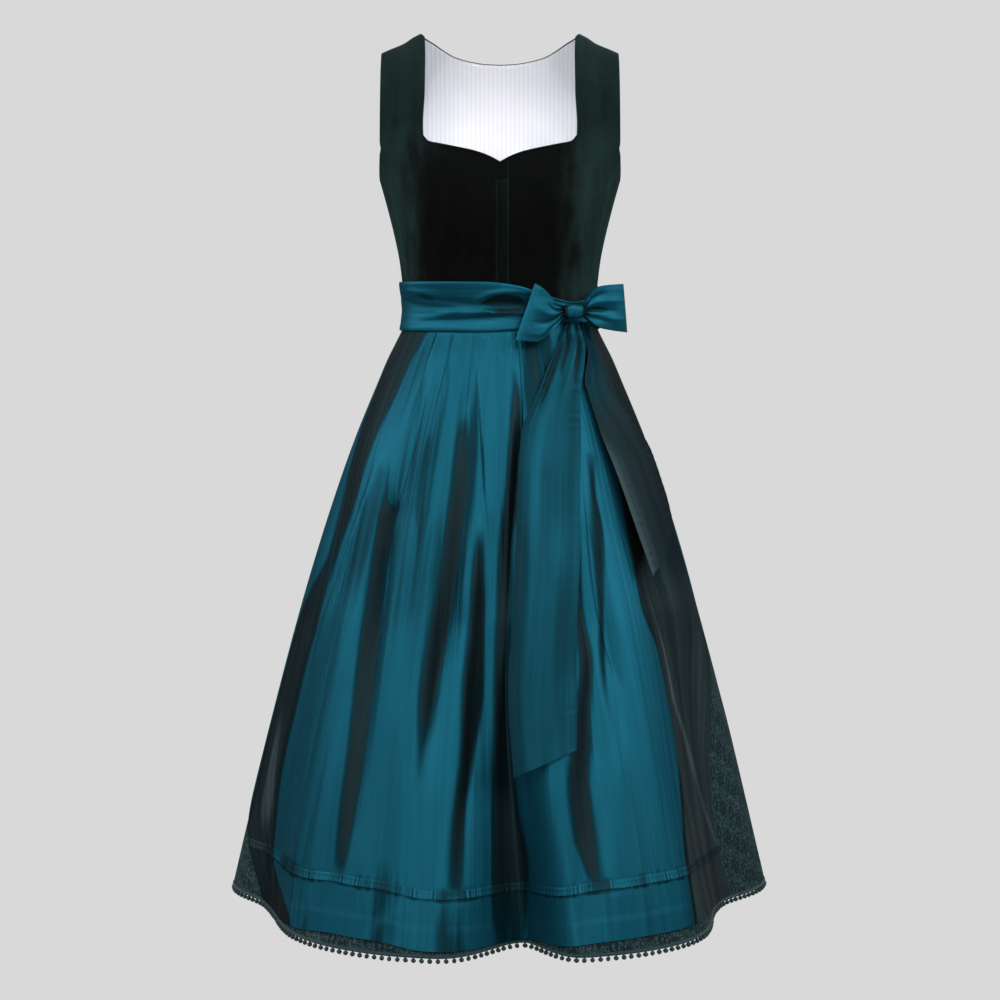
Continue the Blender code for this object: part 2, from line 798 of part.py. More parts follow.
def build_hem_trim():
    """A narrow braid below the skirt's edge, with bobbles of four sides hanging from it."""
    line, out, lengths = hem_line()

    def at(length, off, below):
        length %= lengths[-1]
        base = [np.interp(length, lengths, line[:, k]) for k in range(3)]
        way = [np.interp(length, lengths, out[:, k]) for k in range(3)]
        return np.array(base) + np.array(way) * off * MM - np.array([0, 0, below * MM])

    half = BROCADE_WALL / 2
    low = SEAM_GAP + STRIP_HEIGHT
    points = []
    faces = []
    for k in range(BOBBLES):
        middle = lengths[-1] * k / BOBBLES
        root, ball = BOBBLE_ROOT * MM, BOBBLE_HALF * MM
        points += [at(middle, half, SEAM_GAP), at(middle, -half, SEAM_GAP)]
        points += [at(middle - root, half, low), at(middle + root, half, low)]
        points += [at(middle + root, -half, low), at(middle - root, -half, low)]
        end = low + BOBBLE_DROP
        points += [at(middle - ball, BOBBLE_HALF, end), at(middle + ball, BOBBLE_HALF, end)]
        points += [at(middle + ball, -BOBBLE_HALF, end), at(middle - ball, -BOBBLE_HALF, end)]
    size = len(points) // BOBBLES
    for k in range(BOBBLES):
        top, top_in, a, b, c, d, e, f, g, h = (k * size + i for i in range(size))
        following = (k + 1) % BOBBLES * size
        next_top, next_top_in, next_a, next_d = (following + i for i in (0, 1, 2, 5))
        faces += [(top, a, b), (top, b, next_a, next_top)]
        faces += [(top_in, c, d), (top_in, next_top_in, next_d, c)]
        faces += [(top, next_top, next_top_in, top_in), (b, c, next_d, next_a)]
        faces += [(a, e, f, b), (b, f, g, c), (c, g, h, d), (d, h, e, a), (e, h, g, f)]
    make_object("hem_trim", points, list(triangles(faces)), TRIM)


# The sash, its bow and tails ----------------------------------------------------------------------


def body_radius(angle, drop):
    """The radius of what the sash wraps: the bodice, or the apron over the skirt."""
    side = "front" if math.cos(math.radians(angle)) > 0 else "back"
    bodice = section_radius(angle, half_width(drop), smooth(BODICE, side, drop))
    return max(bodice, skirt_radius(angle, drop) + LAYER_GAP + TAFFETA_WALL)


def build_sash():
    """The sash all the way round, drawn together where it runs under the bow."""
    points = []
    for band in range(SASH_BANDS + 1):
        for k in range(SASH_COLUMNS):
            angle = -180 + 360 * k / SASH_COLUMNS
            top, end = smooth(SASH, "top", angle), smooth(SASH, "end", angle)
            drop = top + (end - top) * band / SASH_BANDS
            radius = body_radius(angle, drop) + SASH_OFF + SASH_WALL
            turn = math.radians(angle)
            points.append(place(radius * math.sin(turn), -radius * math.cos(turn), drop))
    outer = np.array(points)
    cells = []
    for band in range(SASH_BANDS):
        for k in range(SASH_COLUMNS):
            a, d = (band * SASH_COLUMNS + i for i in (k, (k + 1) % SASH_COLUMNS))
            cells.append((a, a + SASH_COLUMNS, d + SASH_COLUMNS, d))
    level = outer * (1, 1, 0)
    inner = outer - level / np.linalg.norm(level, axis=1)[:, None] * SASH_WALL * MM
    cloth_wall("sash", outer, inner, cells, TAFFETA)


def bow_point(along, out, up):
    """A point of the bow from its knot: along the bow to the wearer's left, out from it, and up."""
    turn = math.radians(BOW_TURN)
    x = KNOT_X + along * math.cos(turn) + out * math.sin(turn)
    y = KNOT_Y + along * math.sin(turn) - out * math.cos(turn)
    return place(x, y, KNOT_DROP - up)


def build_loop(name, rows, side):
    """A loop of the sash that leaves the knot in front, turns at its tip and comes back behind."""
    points = []
    for band in range(LOOP_BANDS + 1):
        across = band / LOOP_BANDS
        for k in range(LOOP_STEPS + 1):
            way = math.pi * k / LOOP_STEPS
            share = math.sin(way)
            reach = LOOP_KNOT_DEPTH + (LOOP_MID_DEPTH - LOOP_KNOT_DEPTH) * ease(share)
            top = smooth(rows, "top_along", share), smooth(rows, "top_up", share)
            low = smooth(rows, "low_along", share), smooth(rows, "low_up", share)
            along = top[0] + (low[0] - top[0]) * across
            up = top[1] + (low[1] - top[1]) * across
            points.append(bow_point(side * along, reach * math.cos(way), up))
    cells = grid_cells(LOOP_BANDS + 1, LOOP_STEPS + 1)
    if side < 0:
        cells = [tuple(reversed(cell)) for cell in cells]
    points = np.array(points)
    inner = points - lone_normals(points, cells) * TAFFETA_WALL * MM
    cloth_wall(name, points, inner, cells, TAFFETA)


def build_knot():
    """The knot, a rounded pad of cloth a little proud of the loops on both sides."""
    rings = 5
    sides = 12
    points = [bow_point(-KNOT_HALF_WIDTH, 0, 0)]
    for r in range(1, rings + 1):
        along = math.pi * r / (rings + 1)
        size = math.sin(along) ** KNOT_ROUNDNESS
        for k in range(sides):
            turn = 2 * math.pi * k / sides
            out = KNOT_HALF_DEPTH * size * math.cos(turn)
            up = KNOT_HALF_HEIGHT * size * math.sin(turn)
            points.append(bow_point(-KNOT_HALF_WIDTH * math.cos(along), out, up))
    points.append(bow_point(KNOT_HALF_WIDTH, 0, 0))
    faces = []
    for k in range(sides):
        following = (k + 1) % sides
        faces.append((0, 1 + k, 1 + following))
        for r in range(rings - 1):
            a, b = 1 + r * sides + k, 1 + r * sides + following
            faces.append((a, a + sides, b + sides, b))
        last = 1 + (rings - 1) * sides
        faces.append((len(points) - 1, last + following, last + k))
    make_object("bow_knot", points, list(triangles(faces)), TAFFETA)


def tail_point(angle, drop, off):
    """A point off the dress, over its folds."""
    radius = body_radius(angle, drop) if drop < SASH_LOW_EDGE else skirt_radius(angle, drop)
    turn = math.radians(angle)
    return place((radius + off) * math.sin(turn), -(radius + off) * math.cos(turn), drop)


def build_tail(name, rows):
    """A tail of the bow, from under the knot down over the apron."""
    points = []
    for row in rows:
        for band in range(TAIL_BANDS + 1):
            across = band / TAIL_BANDS
            angle = row.angle_before + (row.angle_after - row.angle_before) * across
            drop = row.drop_before + (row.drop_after - row.drop_before) * across
            points.append(tail_point(angle, drop, row.off))
    cells = grid_cells(len(rows), TAIL_BANDS + 1)
    points = np.array(points)
    inner = points - lone_normals(points, cells) * TAFFETA_WALL * MM
    cloth_wall(name, points, inner, cells, TAFFETA)


def main():
    clear_scene()
    build_bodice()
    points, normals = skirt_surface()
    build_gores(points, normals)
    build_apron(points, normals)
    build_hem_trim()
    build_sash()
    build_loop("bow_loop_left", LOOP_LEFT, 1)
    build_loop("bow_loop_right", LOOP_RIGHT, -1)
    build_knot()
    build_tail("tail_front", TAIL_FRONT)
    build_tail("tail_side", TAIL_SIDE)


if __name__ == "__main__":
    main()
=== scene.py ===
"""The look of a sleeveless dirndl: velvet bodice, brocade skirt, taffeta apron with a sash and bow.

Lengths in the tables are millimetres. A drop is a depth below the outer face of the shoulder
straps, and an angle is in degrees round the body: 0 in front, 90 at the wearer's left, 180 behind.
A share runs from 0 to 1 along the length or the width that it names.
"""

import math
from collections import namedtuple

import bpy
import numpy as np
from bpy.props import FloatProperty, FloatVectorProperty, PointerProperty
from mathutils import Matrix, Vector


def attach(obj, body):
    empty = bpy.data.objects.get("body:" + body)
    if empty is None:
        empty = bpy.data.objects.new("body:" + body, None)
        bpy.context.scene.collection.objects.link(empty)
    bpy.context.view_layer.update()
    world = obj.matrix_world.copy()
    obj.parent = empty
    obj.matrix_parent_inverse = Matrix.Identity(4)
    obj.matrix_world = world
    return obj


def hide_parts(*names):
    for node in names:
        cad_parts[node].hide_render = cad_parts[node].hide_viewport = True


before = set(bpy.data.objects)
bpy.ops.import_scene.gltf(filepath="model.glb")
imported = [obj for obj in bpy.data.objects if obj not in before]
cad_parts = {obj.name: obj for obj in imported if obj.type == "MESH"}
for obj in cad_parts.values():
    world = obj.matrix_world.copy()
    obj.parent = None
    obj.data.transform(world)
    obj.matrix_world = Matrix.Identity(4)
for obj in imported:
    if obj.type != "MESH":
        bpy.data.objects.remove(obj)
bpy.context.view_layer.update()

bl_info = {
    "name": "Dirndl Dress",
    "version": (1, 0, 0),
    "blender": (4, 5, 0),
    "location": "View3D > Sidebar > Dirndl",
    "description": "Dresses the dirndl's solids in velvet, brocade and shot taffeta",
    "category": "Add Mesh",
}

MM = 0.001
UV_NAME = "cloth"
# The attribute that carries each cloth point's painted shade, painted sheen and painted highlight
# into the taffeta's colour
PAINTED_SHADE_NAME = "fold"
SHOULDER_TOP = 2.0


def table(columns, *rows):
    """Rows whose values have the columns' names."""
    kind = namedtuple("Row", columns)
    return [kind(*row) for row in rows]


EDGE = "x drop"
CREASE = "begins ends first middle last depth before after"
DART = "top_x low_x begins ends depth width"
LOOP = "share top_along top_up low_along low_up"
TAIL = "angle_before drop_before angle_after drop_after off"
SOFTBOX = "name azimuth elevation distance width height watts"

# Heights, as drops
WAIST = 358.0
SKIRT_TOP = 358.5
SKIRT_CLOTH_END = 1131.5
APRON_BAND = 67.0
TUCK_HEIGHT = 8.0
BUST_DROP = 200.0
BLADE_DROP = 160.0
SASH_LOW_EDGE = 388.0
PLEAT_BEGIN = 389.0

# Bodice: its sections are superellipses of this power
SECTION_POWER = 2.1
BUST_DEPTH = 140.0
BLADE_DEPTH = 112.0
SEAM_SHARE = 0.9
STRAP_OUTER = 155.5
NECK_EDGE = 105.0
NECK_CORNER = 98.5
UNDERARM = 158.5
NAPE_RISE = 45.0
LINING_END = 300.0
LINING_OFF = 2.5
LINING_WALL = 0.0008

BODICE = table(
    "drop half_width front back",
    (-50, 175, 140, 112), (140, 175, 140, 112), (192, 158.5, 140, 111), (218, 151.5, 138.5, 108),
    (244, 145, 132.5, 103.5), (270, 139, 124.5, 98.5), (296, 134, 116.5, 94),
    (323, 130.5, 108.5, 90.5), (358, 126.5, 100.5, 87.5),
)
SHOULDER = table(
    EDGE,
    (105, 0), (114, 4.5), (126, 12.3), (145, 20.1), (156, 24.8),
)
NECKLINE = table(
    EDGE,
    (0, 175), (14, 167.5), (30, 161.5), (53, 156), (76, 151), (91, 147.5), (98.5, 139),
)
STRAP_BASE = table(
    EDGE,
    (98.5, 139), (112, 140.5), (127, 142.5), (141, 144.5), (155.5, 147),
)
BACK_NECK = table(
    EDGE,
    (0, 30.6), (20, 29.8), (41, 26.8), (61, 21.8), (76, 14.5), (89, 7), (105, 0),
)
STRAP_INNER = table(
    "drop x",
    (0, 105), (7, 99), (40, 97), (80, 97), (125, 99), (139, 98.5),
)
# Fine folds of a bodice panel: an x at its top and at the waist, between two drops; a negative
# depth is a ridge.
FRONT_DARTS = table(
    DART,
    (82, 66, 205, 380, 1.3, 2.2), (70, 58, 240, 372, -0.8, 8), (104, 92, 250, 360, 0.8, 9),
    (40, 34, 262, 372, 0.7, 8), (128, 110, 120, 240, 0.9, 9), (134, 122, 262, 352, 0.8, 6),
)
BACK_DARTS = table(
    DART,
    (74, 60, 150, 380, 1.4, 2.2), (30, 28, 270, 372, 0.8, 9), (96, 84, 230, 360, 0.8, 9),
)
# A crease runs between two drops, through an angle at its start, its middle and its end. Its depth
# is negative for a ridge, and its widths are those on the side of smaller and of larger angles.
# The side panels' creases run through shares of the panel's width, and so are their widths.
SIDE_FOLDS = table(
    CREASE,
    (200, 350, 0.4, 0.44, 0.5, 1, 0.1, 0.12), (260, 372, 0.72, 0.7, 0.66, 1, 0.1, 0.1),
    (280, 372, 0.22, 0.26, 0.3, 0.9, 0.08, 0.1),
)
SKIRT = table(
    "drop half_width front back",
    (358, 124, 98, 85), (386, 128, 102.5, 90), (402, 135.5, 109.5, 98), (427, 148, 122, 111),
    (454, 159.5, 135, 125), (534, 192.5, 171, 162), (641, 230, 213, 204), (749, 263.5, 252, 241),
    (912, 308, 306, 291), (1022, 336, 339, 322), (1135, 364, 372, 352),
)
# The apron's edges as angles: where its cloth ends, and where an even spread would end it.
APRON_EDGE = table(
    "drop right left",
    (358, -97, 92), (749, -94, 88), (860, -92, 79), (967, -91, 72), (1035, -86, 71),
    (1135, -71, 74),
)
APRON_CLOTH = table(
    "drop right left",
    (358, -97, 92), (1135, -76, 76),
)
BACK_FROM = 78.0
BACK_TO = 278.0
EDGE_BLEND = 0.25

# A trough's angle at the waist, halfway down and at the hem; it begins at a drop. A width is where
# it has sunk to a third, on the side of smaller and of larger angles.
TROUGHS = table(
    "top middle hem begins depth_middle depth_hem width_before width_after",
    (-60, -66, -68, 500, 18, 41, 13, 20), (-46, -40, -38, 540, 15, 0, 6, 6),
    (-30, -27, -26, 620, 5, 0, 4, 4), (-26, -16, -16, 470, 14, 2, 4, 5),
    (12, -1, 5, 420, 26, 72, 10.5, 6.3), (26, 21, 18, 560, 9, 2, 4, 5),
    (38, 31, 33, 600, 10, 0, 4, 4), (58, 62, 67, 440, 24, 59, 19, 15.5),
    (112, 109, 107, 480, 17, 34, 8, 10), (135, 134, 132, 520, 14, 26, 7, 9),
    (160, 157, 156, 450, 20, 46, 9, 8), (186, 184, 181, 500, 16, 34, 8, 9),
    (208, 207, 209, 470, 18, 48, 8, 8), (232, 233, 234, 540, 12, 24, 8, 7),
    (252, 254, 257, 460, 18, 36, 9, 8),
)
TROUGH_POWER = 2.4
TROUGH_MIDDLE = 749.0
TROUGH_END = 1135.0

SKIRT_CREASES = table(
    CREASE,
    (380, 640, -33.5, -26, -25.5, 4, 3, 13), (380, 690, -17.5, -8.5, -4, 4.5, 14, 3),
    (430, 645, -40.5, -37.2, -43, 3.5, 10, 2.5), (548, 810, -53, -60, -67.5, -4, 3, 7),
    (580, 800, -57.5, -64, -71.5, 3.5, 7, 3), (545, 620, -48.5, -46.5, -45, 2.5, 2.5, 4),
    (600, 800, -41.5, -40.5, -38, 4, 8, 3), (500, 720, -24.5, -21.8, -21.9, -3, 6, 2.5),
    (640, 900, -18.5, -18.3, -17, 3.5, 6, 8), (690, 1050, -8, -8, -8.5, 4.5, 8, 6),
    (560, 860, 4.5, 1.8, 0.5, -2.5, 3, 5), (540, 840, 34.7, 30.5, 34, 3.5, 3, 5),
    (620, 900, 31.5, 32.8, 30.5, 3, 5, 3), (640, 1000, 25, 25.5, 24, 3, 9, 9),
    (690, 1100, 53.5, 57.5, 72.5, -1.6, 8, 10), (640, 1135, 46.5, 48.2, 38, -5, 32, 7),
    (870, 1095, 3.6, 6.2, 9.8, -4.5, 5, 9), (470, 720, 60, 64, 66, 4, 9, 9),
    (760, 1100, 58, 60, 61, -4, 12, 14), (820, 1110, -46, -47, -48, 3, 12, 14),
    (880, 1120, -26, -25.5, -25, 2.5, 12, 10), (760, 1100, -54, -55, -56, 3, 10, 12),
    (560, 900, 84, 86, 87, 5, 12, 12), (640, 1110, 96, 95, 94, 5, 14, 12),
    (420, 640, 101, 100, 99, 3, 6, 8), (600, 1000, 120, 121, 122, 5, 10, 14),
    (760, 1130, 127, 126, 125, -4, 10, 10), (450, 700, 128, 127, 126, 3.5, 6, 8),
    (480, 900, 146, 146, 145, 5, 12, 9), (700, 1125, 143, 142, 143, -3.5, 9, 12),
    (430, 660, 152, 151, 150, 3, 6, 7), (640, 1120, 170, 169, 168, 5.5, 14, 11),
    (440, 720, 176, 176, 175, 3.5, 7, 7), (560, 980, 195, 194, 195, 5, 10, 13),
    (800, 1128, 190, 191, 190, -3.5, 10, 10), (430, 690, 200, 199, 199, 3, 6, 8),
    (640, 1100, 220, 221, 222, 5, 13, 11), (460, 760, 224, 223, 224, 3.5, 8, 6),
    (520, 960, 243, 244, 245, 5, 11, 12), (820, 1125, 247, 247, 248, -3.5, 10, 12),
    (600, 1060, 264, 266, 268, 5, 12, 14), (440, 680, 262, 262, 263, 3, 7, 7),
    (560, 940, 276, 277, 276, 4, 10, 10),
)
# The flanks of the apron's folds, which turn away from the light, and other bands of painted
# light on it. Each row has a drop, the two angles that the flank lies between, the depth it sinks
# by, how dark it is painted and how soft its edges are. Dark is 0 for the warp's teal, about 0.6
# for its deepest painted shade, 1.2 for the painted dark slant where the weft shows, 2 for painted
# sheen on cloth turned aside, and 3 for a painted highlight of the weft in the light.
FLANKS = {
    "outer_right": (
        (358, -84, -47, 0, 1.15, 24), (405, -82, -53, 0, 1.2, 24), (464, -79, -56, 0, 1.2, 26),
        (541, -75, -60.5, 0, 1.2, 24), (618, -71.5, -63, 0, 1.2, 22), (660, -73, -66, 0, 0.85, 22),
        (689, -75, -67.5, 0, 0.75, 24), (730, -80, -69.5, 0, 1.1, 24), (779, -83, -71, 0, 1.5, 24),
        (866, -84, -72.5, 0, 1.5, 24), (957, -85, -73.5, 0, 1.55, 24),
        (1047, -85, -71, 0, 1.55, 24), (1074, -84.5, -69, 0, 1.5, 24),
        (1093, -84, -62, 0, 1.45, 26), (1109, -84, -51, 0, 1.4, 30), (1135, -83, -45, 0, 1.3, 34),
    ),
    "shoulder": (
        (372, -55, -41, 0, 0.26, 22), (440, -57, -43.5, 0, 0.4, 22), (505, -57, -46, 0, 0.34, 20),
        (560, -57, -48, 0, 0, 20),
    ),
    "right": (
        (548, -47.8, -46.8, 0, 0, 6), (575, -47.2, -46.2, 0, 0.6, 6),
        (600, -46.8, -44.6, 3, 0.8, 10), (617, -46.8, -41, 6, 1.1, 9),
        (640, -46.6, -41.6, 8, 1.2, 12), (680, -46, -42, 11, 1.2, 16),
        (725, -45.2, -41, 12, 1.2, 18), (756, -44.4, -39.8, 12, 1.2, 18),
        (836, -41.8, -36.2, 12, 1.2, 20), (915, -39.2, -34, 10, 1.15, 22),
        (985, -38, -33, 6, 1, 26), (1030, -37, -32.6, 2, 0.7, 28), (1066, -36, -32, 0, 0, 28),
    ),
    "middle_right": (
        (470, -19, -15, 0, 0, 21), (523, -19, -14, 6, 1, 21), (570, -18.8, -12.9, 12, 1.2, 21),
        (641, -19.4, -13.7, 13, 1.2, 21), (750, -20.2, -15.7, 12, 1.2, 21),
        (828, -20.2, -17.4, 8, 1.2, 21), (907, -19.3, -17.8, 3, 0.6, 21),
        (950, -19, -17.9, 0, 0, 21),
    ),
    "beside_pleat": (
        (395, -14, -13, 0, 0.07, 8), (425, -14.4, -12.6, 0, 0.35, 8),
        (480, -15, -11.2, 2, 0.59, 11), (545, -15.6, -10.2, 3, 0.69, 13),
        (600, -14.4, -10.4, 3, 0.69, 13), (672, -13.8, -11.2, 2, 0.59, 12),
        (725, -13.8, -12, 0, 0.28, 12), (780, -14, -12.6, 0, 0, 12),
    ),
    "middle": (
        (610, -8.2, -6.4, 0, 0, 19), (680, -9.1, -6, 5, 1, 19), (749, -9.6, -5.2, 9, 1.2, 19),
        (827, -10.2, -5.3, 10, 1.2, 19), (905, -9.9, -7, 8, 1.2, 19),
        (982, -10.6, -8.6, 5, 1.2, 19), (1042, -10.3, -8.5, 3, 1, 19), (1078, -10, -8.4, 0, 0, 19),
    ),
    "tail_shadow": (
        (380, 15, 36, 0, 0.64, 14), (437, 12.5, 31, 2, 0.64, 14), (468, 10.5, 25, 2, 0.56, 14),
        (499, 8.8, 18, 0, 0.42, 14),
    ),
    "deep_middle": (
        (440, 8.6, 10, 0, 0.5, 18), (497, 5.5, 10.2, 5, 1.2, 18), (569, 2.5, 8.8, 8, 1.2, 18),
        (606, 0.9, 7.6, 8, 1.2, 18), (641, 0, 5.3, 8, 1.2, 18), (749, -0.9, 3.6, 8, 1.2, 18),
        (826, -1.5, 2.3, 8, 1.2, 18), (904, -1.8, 3.2, 8, 1.2, 18), (981, -2, 5, 8, 1.2, 18),
        (1031, -2, 7, 8, 1.2, 18), (1085, -2.2, 7.4, 8, 0.75, 18), (1135, -1.5, 6.5, 8, 0.45, 18),
    ),
    "under_tail": (
        (600, 26, 29, 0, 0, 12), (660, 23.5, 27, 4, 1, 14), (733, 21.5, 25.4, 8, 1.2, 16),
        (786, 21.7, 26.3, 9, 1.2, 19), (840, 19.8, 24, 9, 1.2, 19), (892, 16.9, 22.5, 9, 1.2, 19),
        (945, 15.3, 20.7, 8, 1.2, 19), (997, 15.6, 20.7, 6, 1.2, 19),
        (1035, 17.6, 20.6, 3, 0.95, 19), (1068, 20, 22, 0, 0, 19),
    ),
    "left": (
        (540, 36, 41, 0, 0.26, 12), (599, 33.6, 37.5, 5, 0.75, 12), (626, 33, 38, 6, 0.79, 12),
        (679, 32, 35.8, 6, 0.79, 11), (735, 30.9, 33.4, 4, 0.75, 10), (788, 28.4, 31, 3, 0.66, 10),
        (842, 27, 29, 2, 0.4, 10), (920, 26.8, 28.5, 0, 0, 10),
    ),
    "lit_ridge_left": (
        (690, 51.5, 53, 0, 1.5, 12), (760, 53.2, 55, 0, 2.3, 12), (810, 54.4, 56.2, -0.5, 2.9, 12),
        (851, 54.4, 56.2, -0.5, 2.95, 13), (898, 56.8, 58.6, -0.5, 2.9, 16),
        (951, 58.6, 61.4, -0.5, 2.8, 22), (1002, 63, 67.4, 0, 2.6, 30), (1052, 68, 72, 0, 2.25, 30),
        (1093, 71, 73.4, 0, 1.8, 24),
    ),
    "painted_sheen_right": (
        (880, -81, -77, 0, 1.5, 18), (940, -81, -76, 0, 1.9, 20), (1010, -80.5, -74, 0, 1.95, 20),
        (1060, -78, -73, 0, 1.6, 20), (1100, -76, -71, 0, 1.5, 18),
    ),
    "outer_left": (
        (358, 46, 84, 0, 0.95, 16), (405, 49, 85, 0, 1.05, 16), (464, 53, 86, 0, 1.1, 18),
        (520, 53, 86, 0, 1.1, 20), (560, 51.5, 86, 0, 1.1, 20), (640, 49.4, 87, 0, 1.3, 16),
        (700, 47.2, 87, 0, 1.5, 15), (737, 46.2, 87, 0, 1.6, 15), (775, 48.4, 87, 0, 1.6, 15),
        (809, 50.2, 87, 0, 1.65, 15), (872, 49.8, 87, 0, 1.7, 15), (916, 48.4, 87, 0, 1.75, 16),
        (961, 45.8, 87, 0, 1.75, 16), (1017, 43, 86, 0, 1.8, 16), (1060, 41.9, 86, 0, 1.8, 16),
        (1088, 42, 86, 0, 1.8, 16), (1135, 41, 85, 0, 1.75, 18),
    ),
    "pleat_outer": (
        (395, -45, -43, 0, 0.65, 8), (440, -43.4, -41.6, 0, 0.6, 8),
        (535, -38.8, -36.8, 0, 0.35, 10), (600, -38, -36, 0, 0, 10),
    ),
    "pleat_next": (
        (395, -33.6, -32, 0, 0.6, 7), (440, -30.6, -29, 0, 0.5, 8), (520, -26.6, -24.8, 0, 0, 9),
    ),
    "pleat_inner": ((395, -18.6, -17.2, 0, 0.55, 6), (440, -16, -14.4, 0, 0.5, 7)),
    "hem_shade": (
        (1050, -11, -9, 0, 0, 36), (1098, -13.5, -8, 0, 0.38, 40), (1135, -13, -6.5, 0, 0.51, 40),
    ),
    "tuck_shade": (
        (1010, -25, -22, 0, 0, 40), (1064, -26, -20, 0, 0.38, 44), (1088, -27, -22, 0, 0.34, 44),
        (1125, -29, -26, 0, 0, 40),
    ),
    "hem_shade_left": (
        (1060, 30, 33, 0, 0, 36), (1100, 29, 35, 0, 0.38, 40), (1135, 28, 34, 0, 0.38, 40),
    ),
    "s_line": (
        (470, -40.4, -40, 0, 0, 4), (510, -38.4, -37.8, 1, 0.6, 4), (563, -37.6, -36.9, 2, 0.75, 4),
        (580, -37.6, -36.9, 2, 0.85, 5), (603, -39.2, -38.4, 2, 0.9, 6), (617, -42, -40.6, 2, 1, 7),
        (635, -43.5, -42.5, 0, 0, 7),
    ),
    "broad_shade_outer": (
        (545, -55, -41, 0, 0, 20), (570, -53, -41.5, 0, 0.4, 16), (620, -56, -46, 0, 0.43, 16),
        (680, -58, -47, 0, 0.4, 18), (740, -57, -47, 0, 0.24, 18), (800, -56, -47, 0, 0, 18),
    ),
    "broad_shade_inner": (
        (415, -55, -14, 0, 0, 50), (480, -50, -12, 0, 0.28, 50), (600, -48, -10, 0, 0.36, 50),
        (700, -44, -10, 0, 0.34, 50), (790, -36, -12, 0, 0.22, 50), (900, -34, -12, 0, 0, 50),
    ),
    "navy_shade_streak": (
        (490, -33, -29, 0, 0, 12), (540, -33, -28.5, 0, 0.58, 12), (600, -32, -27, 0, 0.56, 12),
        (650, -29, -25, 0, 0.43, 14), (710, -27, -24, 0, 0, 16),
    ),
    "hem_shade_right": (
        (1066, -40, -35, 0, 0, 34), (1095, -41, -35, 0, 0.36, 36), (1135, -44, -38, 0, 0.31, 36),
    ),
    "hem_shade_middle": (
        (1070, -21.5, -19.5, 0, 0, 30), (1105, -24.5, -20, 0, 0.38, 34),
        (1135, -27, -22, 0, 0.41, 34),
    ),
}
# Past a flank, the cloth comes out again over about this many millimetres.
FLANK_RECOVERY = 24.0
RECOVERY_POWER = 1.5

# A fold that turns a point by more than the first angle, in degrees, gets painted shade, and by
# the second the full painted shade; where it turns to the wearer's right, the turn counts half.
FLANK_TURN = 36.0
FLANK_FULL_TURN = 68.0
RIGHT_FLANK = 0.5

APRON_PLEATS = table(
    "share folds_back",
    (0.283, False), (0.347, False), (0.423, False), (0.57, True), (0.651, True), (0.728, True),
)
PLEAT_STEP = 3.0
PLEAT_RUN = 0.075
PLEAT_GROWTH = 28.0
PLEAT_LENGTH = 230.0
GATHER_STEP = 2.6
GATHER_LENGTH = 260.0
GATHER_WAVES = 22

# How far the apron's hem rises above the skirt's
APRON_HEM = table(
    "angle rise",
    (-75, 1), (-55, 2), (-43, 7), (-33, 13), (-23, 12), (-15, 5), (-8, 4), (4, 1), (10, 6),
    (18, 12.5), (32, 14.5), (47, 14.5), (57, 7), (66, 2), (76, 4),
)
# A gore's first and last share: 0 to 1 cross under the apron, 1 to 2 pass behind. The apron covers
# 46 parts and the back 44.
GORES = table(
    "piece node first last columns",
    ("brocade_front_right", "skirt_front_right", 4 / 46, 23 / 46, 76),
    ("brocade_front_left", "skirt_front_left", 23 / 46, 42 / 46, 76),
    ("brocade_side_left", "skirt_side_left", 42 / 46, 1 + 10 / 44, 116),
    ("brocade_back_left", "skirt_back_left", 1 + 10 / 44, 1 + 22 / 44, 108),
    ("brocade_back_right", "skirt_back_right", 1 + 22 / 44, 1 + 34 / 44, 108),
    ("brocade_side_right", "skirt_side_right", 1 + 34 / 44, 2 + 4 / 46, 116),
)
GORE_ROWS = 104
UNDER_APRON = 3.0

# A bobble's outline from its stem down: a drop below the braid and a radius.
BOBBLE = table(
    "below radius",
    (-0.6, 0.9), (0.5, 1), (1.5, 2.5), (3.2, 3.3), (5, 2.6), (6, 1.1),
)
BALL_SIDES = 6
STRIP_HEIGHT = 3.4

APRON_WIDTH = 1180.0
APRON_COLUMNS = 352
APRON_OFF = 1.7

# Knot of the bow
KNOT_X = 94.0
KNOT_Y = -95.0
KNOT_DROP = 363.0
KNOT_HALF_WIDTH = 13.5
KNOT_HALF_DEPTH = 7.6
KNOT_HALF_HEIGHT = 8.8
BOW_TURN = 25.0
LOOP_KNOT_DEPTH = 4.0
LOOP_MID_DEPTH = 9.0

SASH_OFF = 4.0
SASH_COLUMNS = 360
SASH_ROWS = 34
VALLEY_DEPTH = 4.5
SASH = table(
    "angle top end",
    (-180, 324, 388), (-90, 324, 388), (-10, 325, 388.5), (12, 330, 386), (35, 344, 379),
    (52, 350, 377), (80, 338, 383), (110, 326, 388), (180, 324, 388),
)
# The sash's creases run between two angles, through drops.
SASH_CREASES = table(
    CREASE,
    (-16, 30, 351, 353, 357, 2.4, 7, 7), (-20, 26, 352, 338, 347, -2.4, 3.5, 4.5),
    (-20, 26, 353, 368, 364, -2.2, 4.5, 3.5), (-60, 30, 377, 371, 368, 2.4, 3, 4),
    (-48, 46, 366, 364, 366, -2.6, 4, 3), (-70, 10, 345, 350, 362, 1.6, 4, 6),
    (-96, -30, 340, 352, 358, 1.2, 4, 6), (-80, -36, 334, 338, 344, -1.2, 5, 4),
    (4, 60, 337, 347, 356, 1.5, 2.5, 3), (70, 120, 358, 360, 356, 2, 4, 5),
    (75, 140, 368, 372, 376, -1.5, 4, 5), (110, 175, 340, 344, 341, 1.6, 4, 5),
    (130, 200, 362, 365, 370, 1.6, 5, 4), (170, 240, 350, 346, 343, 1.5, 5, 5),
    (200, 262, 372, 368, 371, -1.4, 5, 5),
)
